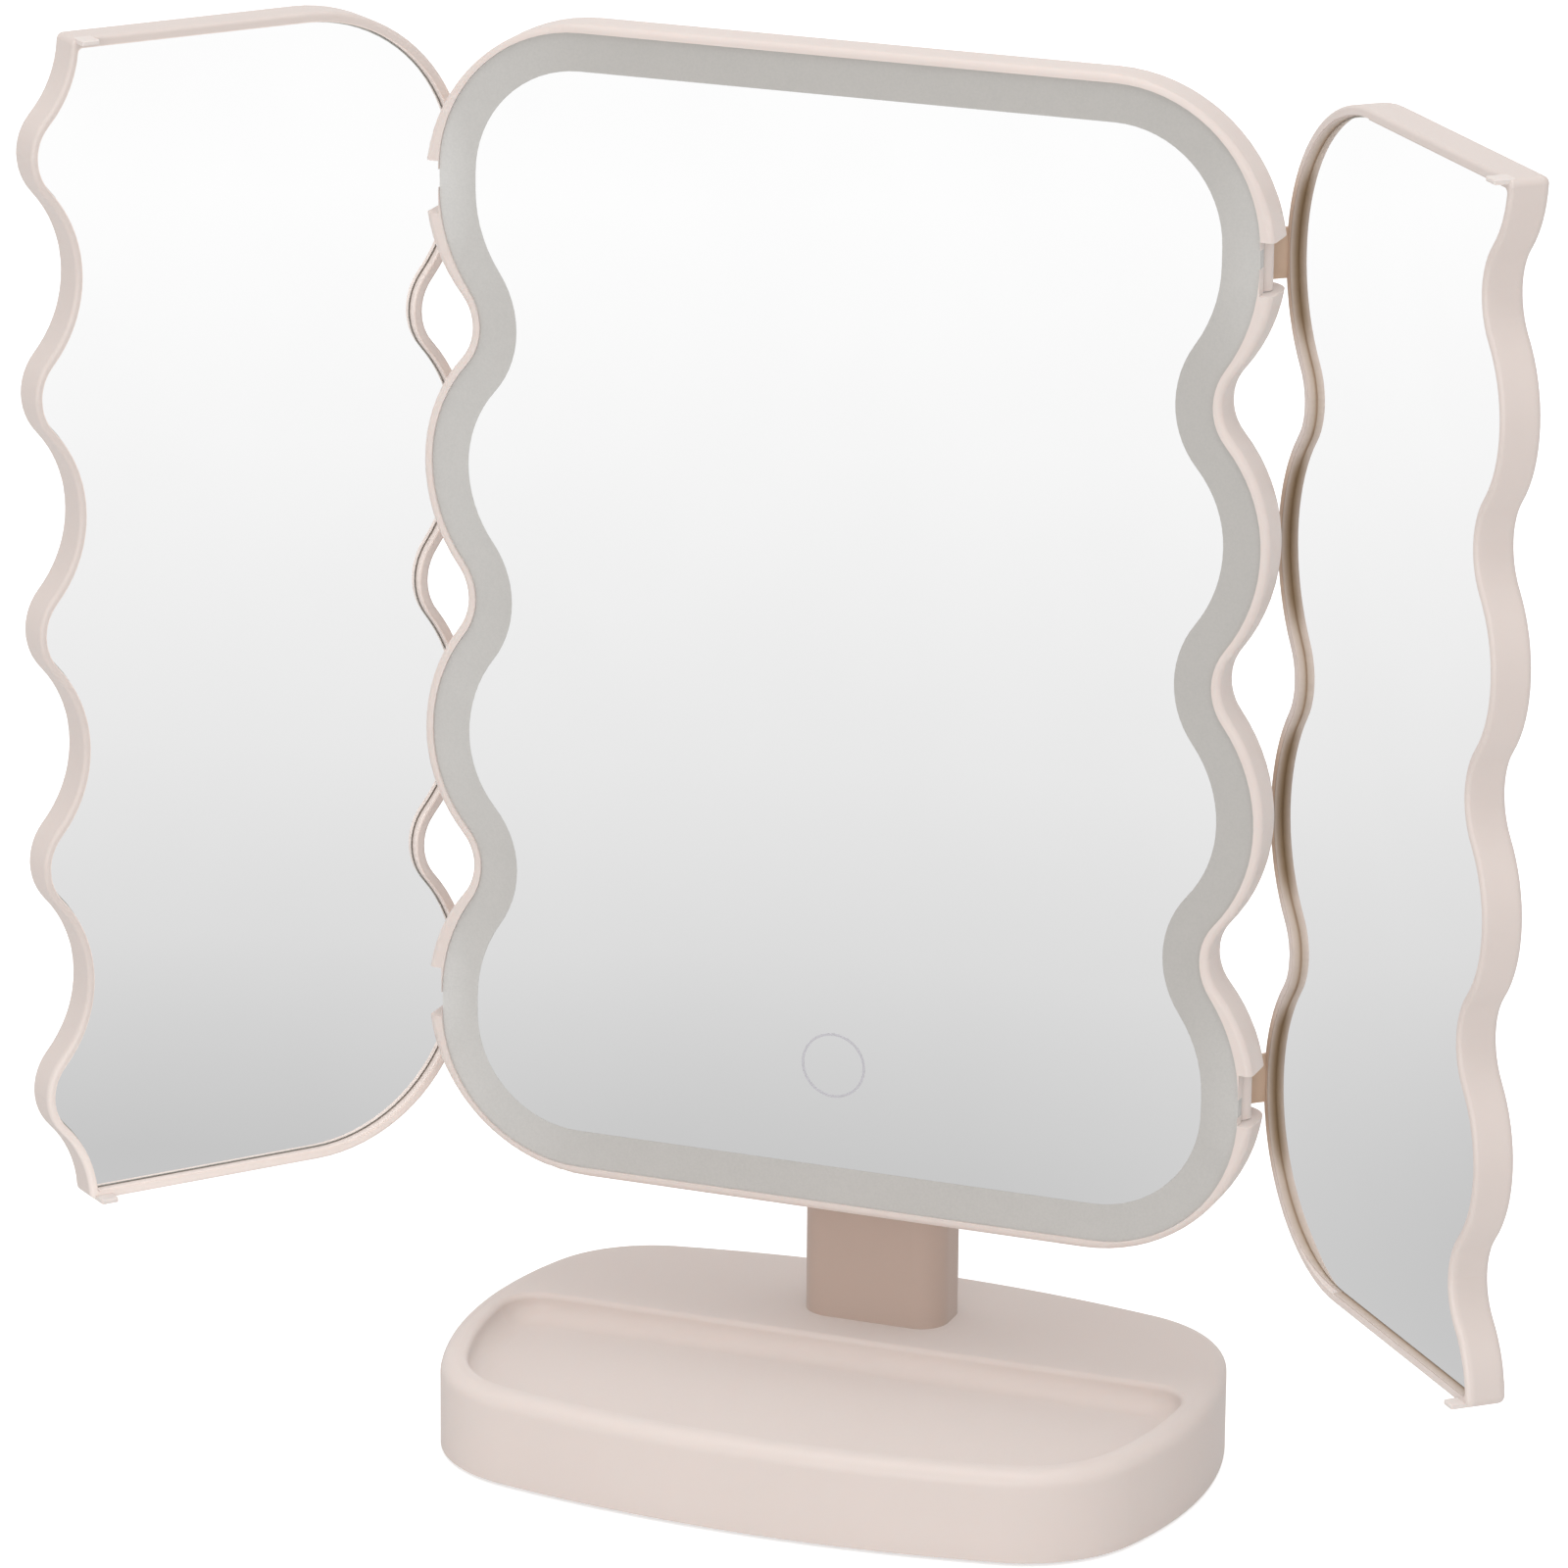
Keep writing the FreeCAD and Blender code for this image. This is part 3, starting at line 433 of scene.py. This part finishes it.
def wing_shell(name, side, painted_fold_tone, painted_fold_depth, painted_low_depth):
    """A wing's moulded pink, with a painted tone on its front lip past the hinge line (painted shade on the
    right wing, painted bounce light on the left) and painted light at its foot.
    """
    colour, shade = (tinted(blush, tint) for tint in wing_tints)
    material = moulded(name, colour, shade, *wing_look)
    tree = material.node_tree
    shader = tree.nodes["Principled BSDF"]
    tone = shader.inputs["Base Color"].links[0].from_socket
    lip = wing_place(tree, *pane_front(side), painted_lip_reach, 1.0)
    low_start = panel_low + Vector((0.0, 0.0, painted_low_reach))
    low = wing_place(tree, Vector(downward), low_start, painted_low_reach, painted_low_depth)
    painted_fold = past_hinge(tree, side, painted_fold_reach, painted_fold_depth)
    # Painted light at the foot and the painted fold tone, both on the front lip only
    for share, painted in ((low, low_lip_painted_light), (painted_fold, painted_fold_tone)):
        tone = blend_colours(tree, math_node(tree, "MULTIPLY", share, lip), tone, painted)
    tree.links.new(tone, shader.inputs["Base Color"])
    return material


def silvered_glass():
    """The mirror panes: clear glass over silver, with a trace of haze."""
    material, tree, shader = new_material("silvered_glass")
    shader.inputs["Metallic"].default_value = 1.0
    haze = noise(tree, haze_scale, 4.0)
    share = remap(tree, haze, *haze_colour_noise, 0.0, 1.0)
    colour = blend_colours(tree, share, silver, tinted(silver, haze_tint))
    tree.links.new(colour, shader.inputs["Base Color"])
    tree.links.new(remap(tree, haze, *haze_gloss_noise, *pane_gloss), shader.inputs["Roughness"])
    return material


def ground_edge():
    """The ground and polished edge round a pane."""
    material, tree, shader = new_material("ground_edge")
    grind = noise(tree, edge_grind_scale)
    colour = blend_colours(tree, grind, tinted(edge_glass, edge_tint), edge_glass)
    tree.links.new(colour, shader.inputs["Base Color"])
    tree.links.new(remap(tree, grind, *clear_noise, *edge_gloss), shader.inputs["Roughness"])
    shader.inputs["Coat Weight"].default_value = edge_coat
    return material


def etched_band():
    """The etched light band: pale grey speckle, with painted light on its left, at its foot and beside the
    hinges.
    """
    material, tree, shader = new_material("etched_band")
    split = tree.nodes.new("ShaderNodeSeparateXYZ")
    tree.links.new(object_place(tree), split.inputs["Vector"])
    x, z = split.outputs["X"], split.outputs["Z"]
    # Painted light: the band lighter on its left, at its foot and beside the hinges
    painted_left_light = remap(tree, x, band_left_start, panel_low.x, 0.0, band_left_light_share)
    painted_foot_light = remap(tree, z, panel_low.z + band_foot_reach, panel_low.z, 0.0, band_foot_light_share)
    across = math_node(tree, "SUBTRACT", math_node(tree, "ABSOLUTE", x), panel_high.x)
    rise = math_node(tree, "SUBTRACT", z, panel_face.z)
    hinge_rise = (pin_high.z - pin_low.z) / 2 - band_hinge_inset
    along = math_node(tree, "SUBTRACT", math_node(tree, "ABSOLUTE", rise), hinge_rise)
    squeezed = math_node(tree, "MULTIPLY", along, band_hinge_squeeze)
    squares = [math_node(tree, "MULTIPLY", part, part) for part in (across, squeezed)]
    away = math_node(tree, "SQRT", math_node(tree, "ADD", *squares))
    near_hinge = remap(tree, away, band_hinge_reach, 0.0, 0.0, 1.0)
    near_left = remap(tree, x, 0.0, panel_low.x, *band_hinge_light_shares)
    painted_hinge_light = math_node(tree, "MULTIPLY", near_hinge, near_left)
    share = math_node(tree, "MAXIMUM", math_node(tree, "ADD", painted_left_light, painted_foot_light), painted_hinge_light)
    colour = blend_colours(tree, share, etched_grey, band_painted_light)
    speck = noise(tree, band_speck_scale, 3.0)
    cloud = noise(tree, band_cloud_scale, 4.0)
    fleck = math_node(tree, "ADD", math_node(tree, "MULTIPLY", speck, band_speck_share),
                      math_node(tree, "MULTIPLY", cloud, 1.0 - band_speck_share))
    worn = remap(tree, fleck, *clear_noise, 0.0, band_worn_share)
    tree.links.new(blend_colours(tree, worn, colour, etched_dark), shader.inputs["Base Color"])
    tree.links.new(remap(tree, speck, *clear_noise, *band_gloss), shader.inputs["Roughness"])
    add_bump(tree, shader, speck, band_grain_depth, grain_relief)
    shader.inputs["Coat Weight"].default_value = band_coat
    shader.inputs["Coat Roughness"].default_value = band_coat_gloss
    return material


def bead_finish(name, tones, side=0, painted_fold_tone=None):
    """The bead round a pane, its painted tones from the gap to the top, with painted shade past the hinge
    if asked.
    """
    material, tree, shader = new_material(name)
    rise = tree.nodes.new("ShaderNodeAttribute")
    rise.attribute_name = "rise"
    ramp = tree.nodes.new("ShaderNodeValToRGB")
    set_stops(ramp, tones)
    tree.links.new(rise.outputs["Fac"], ramp.inputs["Fac"])
    shade = ramp.outputs["Color"]
    if painted_fold_tone:
        eased = remap(tree, rise.outputs["Fac"], *bead_ease_rises, *bead_ease_shares)
        painted_fold = past_hinge(tree, side, bead_fold_shade_reach, bead_fold_shade_depth)
        shade = blend_colours(tree, math_node(tree, "MULTIPLY", painted_fold, eased), shade, painted_fold_tone)
    grain = noise(tree, bead_grain_scale)
    worn = remap(tree, grain, *clear_noise, 0.0, bead_grain_share)
    tree.links.new(blend_colours(tree, worn, shade, bead_gap_shade), shader.inputs["Base Color"])
    tree.links.new(remap(tree, grain, *clear_noise, *bead_gloss), shader.inputs["Roughness"])
    shader.inputs["Specular IOR Level"].default_value = bead_specular
    return material


def circuit_board(name, colour, trace):
    """A printed board with fine tracks."""
    material, tree, shader = new_material(name)
    tracks = tree.nodes.new("ShaderNodeTexVoronoi")
    tracks.distance = "MANHATTAN"
    tracks.feature = "DISTANCE_TO_EDGE"
    tracks.inputs["Scale"].default_value = track_scale
    tree.links.new(object_place(tree), tracks.inputs["Vector"])
    share = remap(tree, tracks.outputs["Distance"], *track_edge, track_share, 0.0)
    tree.links.new(blend_colours(tree, share, colour, trace), shader.inputs["Base Color"])
    grain = noise(tree, board_grain_scale)
    tree.links.new(remap(tree, grain, *clear_noise, *board_gloss), shader.inputs["Roughness"])
    return material


finishes = {
    "mirror": silvered_glass(),
    "frosted": etched_band(),
    "board_white": circuit_board("white_board", board_white, tinted(board_white, white_track_tint)),
    "board_green": circuit_board("green_board", board_green, copper_trace),
}
for slot, (name, colour, tint, *look) in moulded_rows.items():
    finishes[slot] = moulded(name, colour, tinted(colour, tint), *look)
for slot, row in metal_rows.items():
    finishes[slot] = metal(*row)
edge_finish = ground_edge()
wing_finishes = {
    # Painted bounce light on the left wing's lip beside the hinges, painted shade on the right's
    "left_wing_frame": wing_shell("left_wing_blush", -1, fold_painted_bounce, painted_fold_depth=0.7, painted_low_depth=1.0),
    "right_wing_frame": wing_shell("right_wing_blush", 1, fold_shade_brown, painted_fold_depth=1.0, painted_low_depth=0.3),
}
bead_finishes = {
    "left": bead_finish("left_bead", left_bead_painted_tones),
    "right": bead_finish("right_bead", right_bead_painted_tones, 1, fold_shade_umber),
}


def dress_nodes():
    """Give every CAD node its procedural finish."""
    for row in frame["record"]["subparts"]:
        node = nodes[row["node"]]
        node.data.materials.clear()
        node.data.materials.append(wing_finishes.get(row["node"], finishes[row["material_slot"]]))


def add_piece(name, mesh, body, replaced=None):
    """A finished piece on its body, and in place of a CAD node if it stands for one."""
    piece = bpy.data.objects.new(name, mesh)
    bpy.context.scene.collection.objects.link(piece)
    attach(piece, body)
    if replaced:
        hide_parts(replaced)
    return piece


def front_face(form):
    """The largest face of a pane that looks to the front."""
    return max((face for face in form.faces if face.normal.y < 0), key=lambda face: face.calc_area())


def glass_pane(node_name, body, chamfer):
    """A pane over its CAD node, with a ground rim and a chamfered front edge if asked."""
    mesh = nodes[node_name].data.copy()
    mesh.materials.clear()
    mesh.materials.append(finishes["mirror"])
    mesh.materials.append(edge_finish)
    form = bmesh.new()
    form.from_mesh(mesh)
    bmesh.ops.remove_doubles(form, verts=form.verts, dist=merge_distance)
    bmesh.ops.dissolve_limit(form, angle_limit=pane_flat_limit, verts=form.verts, edges=form.edges)
    front = front_face(form)
    outline = [vert.co.copy() for vert in front.verts]
    if chamfer:
        bmesh.ops.bevel(form, geom=list(front.edges), offset=chamfer, offset_type="OFFSET", segments=1,
                        affect="EDGES", clamp_overlap=True)
    facing = front_face(form).normal.copy()
    for face in form.faces:
        face.material_index = 0 if abs(face.normal.dot(facing)) > math.cos(pane_edge_limit) else 1
        face.smooth = False
    bmesh.ops.triangulate(form, faces=form.faces)
    form.to_mesh(mesh)
    form.free()
    add_piece(node_name.replace("mirror", "pane"), mesh, body, node_name)
    return outline, facing


def outset(outline, facing, distance):
    """A pane's outline moved outwards in its plane."""
    places = []
    for k, place in enumerate(outline):
        before = (place - outline[k - 1]).normalized().cross(facing)
        after = (outline[(k + 1) % len(outline)] - place).normalized().cross(facing)
        out = (before + after).normalized()
        places.append(place + out * (distance / out.dot(after)))
    return places


def bead_piece(name, side, rows, closed):
    """A strip of bead through rows of four corners, closed on itself or with capped ends."""
    form = bmesh.new()
    level = form.verts.layers.float.new("rise")
    rings = [[form.verts.new(corner) for corner in row] for row in rows]
    for ring in rings:
        for vert, rise in zip(ring, bead_corner_rises):
            vert[level] = rise
    for first, second in zip(rings, rings[1:] + rings[:1] if closed else rings[1:]):
        for k in range(len(bead_corner_rises)):
            form.faces.new((first[k], first[k - 1], second[k - 1], second[k]))
    if not closed:
        form.faces.new(rings[0])
        form.faces.new(rings[-1][::-1])
    bmesh.ops.recalc_face_normals(form, faces=form.faces)
    mesh = bpy.data.meshes.new(name)
    form.to_mesh(mesh)
    form.free()
    mesh.materials.append(bead_finishes[side])
    return add_piece(name, mesh, side + "_wing")


def glass_bead(side, outline, facing):
    """The bead round a wing's pane; gives the stretch of it that the panes may show."""
    inner = outset(outline, facing, bead_gap)
    outer = outset(outline, facing, bead_gap + bead_wall)
    reach = pin_high.x + bead_mirrored_reach

    def bead_row(k, share=1.0):
        low, high = -bead_foot * facing, share * bead_rise * facing
        return inner[k] + low, outer[k] + low, outer[k] + high, inner[k] + high

    def runout(k):
        part = min(1.0, (reach - outline[k].x) / bead_runout)
        return bead_runout_share + (1.0 - bead_runout_share) * part * part * (3.0 - 2.0 * part)

    places = range(len(outline))
    if side == "left":
        return bead_piece("left_bead", side, [bead_row(k) for k in places], True)
    start = next(k for k in places if outline[k].x < reach <= outline[k - 1].x)
    places = [*places[start:], *places[:start]]
    count = sum(place.x < reach for place in outline)
    bead_piece("right_outer_bead", side, [bead_row(k) for k in places[count - 1:] + places[:1]], False)
    return bead_piece("right_hinge_bead", side, [bead_row(k, runout(k)) for k in places[:count]], False)


def screw_tree():
    """Geometry Nodes: domed cross-head screws on the points of a mesh, their crosses turned at random."""
    tree = bpy.data.node_groups.new("cross_head_screws", "GeometryNodeTree")
    sockets = {"Geometry": "Geometry", "Head Radius": "Float", "Head Height": "Float",
               "Shank Radius": "Float", "Shank Length": "Float", "Facing": "Vector", "Seed": "Int",
               "Finish": "Material"}
    for label, kind in sockets.items():
        tree.interface.new_socket(label, in_out="INPUT", socket_type="NodeSocket" + kind)
    tree.interface.new_socket("Geometry", in_out="OUTPUT", socket_type="NodeSocketGeometry")
    given = tree.nodes.new("NodeGroupInput").outputs
    link = tree.links.new

    def made(kind, **values):
        node = tree.nodes.new(kind)
        for label, value in values.items():
            feed(tree, node.inputs[label.replace("_", " ")], value)
        return node

    def vector(x, y, z):
        return made("ShaderNodeCombineXYZ", X=x, Y=y, Z=z).outputs[0]

    def times(value, factor):
        return math_node(tree, "MULTIPLY", value, factor)

    def lowered(geometry, drop):
        shift = vector(0.0, 0.0, times(drop, -1.0))
        return made("GeometryNodeTransform", Geometry=geometry, Translation=shift).outputs[0]

    # A domed head, its top at the origin
    radius, height = given["Head Radius"], given["Head Height"]
    head = made("GeometryNodeMeshCylinder", Vertices=screw_sides, Fill_Segments=screw_rings, Radius=radius,
                Depth=height).outputs["Mesh"]
    position = tree.nodes.new("GeometryNodeInputPosition").outputs[0]
    place = made("ShaderNodeSeparateXYZ", Vector=position).outputs
    squares = [math_node(tree, "POWER", place[axis], 2.0) for axis in "XY"]
    share = math_node(tree, "DIVIDE", math_node(tree, "SQRT", math_node(tree, "ADD", *squares)), radius)
    crown = math_node(tree, "SUBTRACT", 1.0, times(share, share))
    lift = times(times(height, screw_dome_share), crown)
    lift = times(lift, math_node(tree, "GREATER_THAN", place["Z"], 0.0))
    domed = made("GeometryNodeSetPosition", Geometry=head, Offset=vector(0.0, 0.0, lift)).outputs[0]

    # The cross cut in it, and the shank below
    long_side = times(radius, 2 * recess_reach_share)
    short_side = times(radius, 2 * recess_width_share)
    deep_side = times(height, 2 * recess_depth_share)
    carved = tree.nodes.new("GeometryNodeMeshBoolean")
    carved.operation = "DIFFERENCE"
    link(lowered(domed, times(height, 0.5)), carved.inputs["Mesh 1"])
    for sides in ((long_side, short_side, deep_side), (short_side, long_side, deep_side)):
        link(made("GeometryNodeMeshCube", Size=vector(*sides)).outputs["Mesh"], carved.inputs["Mesh 2"])
    length = given["Shank Length"]
    shank = made("GeometryNodeMeshCylinder", Vertices=screw_sides, Radius=given["Shank Radius"],
                 Depth=length).outputs["Mesh"]
    whole = tree.nodes.new("GeometryNodeJoinGeometry")
    link(carved.outputs["Mesh"], whole.inputs[0])
    link(lowered(shank, math_node(tree, "ADD", times(length, 0.5), height)), whole.inputs[0])

    # One on each point, turned about its own axis
    spin = tree.nodes.new("FunctionNodeRandomValue")
    spin.data_type = "FLOAT"
    least, most = [socket for socket in spin.inputs if socket.enabled][:2]
    least.default_value = 0.0
    most.default_value = math.pi
    link(given["Seed"], spin.inputs["Seed"])
    angle = [socket for socket in spin.outputs if socket.enabled][0]
    own = made("FunctionNodeAxisAngleToRotation", Axis=(0.0, 0.0, 1.0), Angle=angle)
    aimed = tree.nodes.new("FunctionNodeAlignRotationToVector")
    aimed.axis = "Z"
    link(given["Facing"], aimed.inputs["Vector"])
    rotation = tree.nodes.new("FunctionNodeRotateRotation")
    rotation.rotation_space = "LOCAL"
    link(aimed.outputs[0], rotation.inputs["Rotation"])
    link(own.outputs[0], rotation.inputs["Rotate By"])
    copies = made("GeometryNodeInstanceOnPoints", Points=given["Geometry"], Instance=whole.outputs[0],
                  Rotation=rotation.outputs[0])
    plain = made("GeometryNodeRealizeInstances", Geometry=copies.outputs[0])
    dressed = made("GeometryNodeSetMaterial", Geometry=plain.outputs[0], Material=given["Finish"])
    link(dressed.outputs[0], tree.nodes.new("NodeGroupOutput").inputs[0])
    return tree


def islands(node_name):
    """Lowest and highest corners of each separate solid of a CAD node, in order of place."""
    form = bmesh.new()
    form.from_mesh(nodes[node_name].data)
    bmesh.ops.remove_doubles(form, verts=form.verts, dist=merge_distance)
    left = set(form.verts)
    corners = []
    while left:
        found, edge = set(), [left.pop()]
        while edge:
            vert = edge.pop()
            found.add(vert)
            near = [e.other_vert(vert) for e in vert.link_edges]
            edge += [v for v in near if v in left]
            left.difference_update(near)
        corners.append([Vector([pick(v.co[axis] for v in found) for axis in range(3)])
                        for pick in (min, max)])
    form.free()
    return sorted(corners, key=lambda pair: [round(place, screw_order_digits) for place in pair[0]])


def screws(name, node_name, tree, facing, sizes, seed):
    """Screws in place of a CAD node's, their heads' tops where the solids' are, as one plain mesh."""
    axis = max(range(3), key=lambda k: abs(facing[k]))
    tops = []
    for low, high in islands(node_name):
        top = (low + high) / 2
        top[axis] = high[axis] if facing[axis] > 0 else low[axis]
        tops.append(top)
    points = bpy.data.meshes.new(name + "_points")
    points.from_pydata(tops, [], [])
    maker = bpy.data.objects.new(name + "_maker", points)
    bpy.context.scene.collection.objects.link(maker)
    modifier = maker.modifiers.new("screws", "NODES")
    modifier.node_group = tree
    values = dict(sizes, Facing=facing, Seed=seed, Finish=finishes["steel"])
    for item in tree.interface.items_tree:
        if item.in_out == "INPUT" and item.name in values:
            modifier[item.identifier] = values[item.name]
    bpy.context.view_layer.update()
    mesh = bpy.data.meshes.new_from_object(maker.evaluated_get(bpy.context.evaluated_depsgraph_get()))
    maker.modifiers.clear()
    bpy.data.objects.remove(maker)
    return mesh


def place_screws():
    """Every screw that can be seen: in the rear cover, the bracket and the bottom plate."""
    tree = screw_tree()
    rows = (("cover_screws", "head_screws", rearward, small_screw, "head"),
            ("ear_screws", "bracket_screws", rearward, big_screw, "head"),
            ("foot_screws", "base_screws", downward, big_screw, "stand"))
    for seed, (name, node_name, facing, sizes, body) in enumerate(rows):
        mesh = screws(name, node_name, tree, facing, sizes, seed)
        add_piece(name, mesh, body, node_name)


def lamp(name, place, aim, size, power):
    """A soft square lamp that looks at a point."""
    light = bpy.data.lights.new(name, "AREA")
    light.shape = "SQUARE"
    light.size = size
    light.energy = power
    lamp_object = bpy.data.objects.new(name, light)
    lamp_object.location = place
    lamp_object.rotation_euler = (Vector(aim) - Vector(place)).to_track_quat("-Z", "Y").to_euler()
    bpy.context.scene.collection.objects.link(lamp_object)


def studio_world():
    """White surroundings: full white to the camera, off gloss and through glass, and less as light."""
    world = bpy.data.worlds.new("studio")
    world.use_nodes = True
    tree = world.node_tree
    background = tree.nodes["Background"]
    background.inputs["Color"].default_value = studio_white
    path = tree.nodes.new("ShaderNodeLightPath").outputs
    shown = math_node(tree, "MAXIMUM", path["Is Camera Ray"], path["Is Transmission Ray"])
    shown = math_node(tree, "MAXIMUM", shown, path["Is Glossy Ray"])
    tree.links.new(remap(tree, shown, 0.0, 1.0, world_light, 1.0), background.inputs["Strength"])
    bpy.context.scene.world = world


def floor_finish():
    """A pale floor that keeps the shadow; mirrors see it as a glow with painted shade, falling off softly
    towards the object.
    """
    material = bpy.data.materials.new("pale_floor")
    material.use_nodes = True
    tree = material.node_tree
    tree.nodes.clear()

    def joined(kind, *sources):
        node = tree.nodes.new(kind)
        for socket, source in zip(node.inputs, sources):
            tree.links.new(source, socket)
        return node.outputs[0]

    lit = tree.nodes.new("ShaderNodeBsdfDiffuse")
    lit.inputs["Color"].default_value = floor_white
    glow = tree.nodes.new("ShaderNodeEmission")
    glow.inputs["Strength"].default_value = floor_glow
    seen = joined("ShaderNodeAddShader", lit.outputs[0], glow.outputs[0])
    path = tree.nodes.new("ShaderNodeLightPath").outputs
    plain = joined("ShaderNodeMixShader", path["Is Camera Ray"], lit.outputs[0], seen)
    away = tree.nodes.new("ShaderNodeVectorMath")
    away.operation = "DISTANCE"
    away.inputs[1].default_value = mirrored_centre
    tree.links.new(object_place(tree), away.inputs[0])
    # Painted shade of the floor as the mirrors see it: darker nearer the object
    ramp = tree.nodes.new("ShaderNodeValToRGB")
    set_stops(ramp, [(distance / mirrored_span, (level, level, level, 1.0))
                     for distance, level in mirrored_floor_shade_levels])
    tree.links.new(math_node(tree, "DIVIDE", away.outputs["Value"], mirrored_span), ramp.inputs["Fac"])
    mirrored_floor = joined("ShaderNodeEmission", ramp.outputs["Color"])
    whole = joined("ShaderNodeMixShader", path["Is Glossy Ray"], plain, mirrored_floor)
    tree.links.new(whole, tree.nodes.new("ShaderNodeOutputMaterial").inputs["Surface"])
    return material


def studio_floor():
    """The floor under the object, as part of the stage."""
    mesh = bpy.data.meshes.new("floor")
    h = floor_half
    mesh.from_pydata([(-h, -h, 0), (h, -h, 0), (h, h, 0), (-h, h, 0)], [], [(0, 1, 2, 3)])
    mesh.materials.append(floor_finish())
    floor = bpy.data.objects.new("floor", mesh)
    bpy.context.scene.collection.objects.link(floor)


def photo_camera():
    """The camera at the photograph's place."""
    a, e, r = (math.radians(x) for x in (view_azimuth, view_elevation, view_roll))
    back = Vector((math.sin(a) * math.cos(e), -math.cos(a) * math.cos(e), math.sin(e)))
    level = Vector((0, 0, 1)).cross(back).normalized()
    rise = back.cross(level)
    right = math.cos(r) * level + math.sin(r) * rise
    up = math.cos(r) * rise - math.sin(r) * level
    place = panel_face - view_left * right - view_down * up + view_distance * back
    data = bpy.data.cameras.new("photo_camera")
    data.lens = focal_length
    data.sensor_width = sensor_width
    camera = bpy.data.objects.new("photo_camera", data)
    camera.matrix_world = Matrix((right, up, back)).transposed().to_4x4()
    camera.matrix_world.translation = place
    bpy.context.scene.collection.objects.link(camera)
    bpy.context.scene.camera = camera


dress_nodes()
glass_pane("main_mirror", "head", 0.0)
mirrored = []
for side in ("left", "right"):
    outline, facing = glass_pane(side + "_wing_mirror", side + "_wing", pane_chamfer)
    mirrored.append(glass_bead(side, outline, facing))
place_screws()

# The panes show the studio and these beads, and not the rest of the object
for thing in bpy.data.objects:
    if thing.type == "MESH":
        thing.visible_glossy = thing in mirrored

studio_world()
studio_floor()
for name, (place, size, power) in lamps.items():
    lamp(name, place, panel_face, size, power)
photo_camera()
bpy.context.scene.view_settings.view_transform = "Standard"
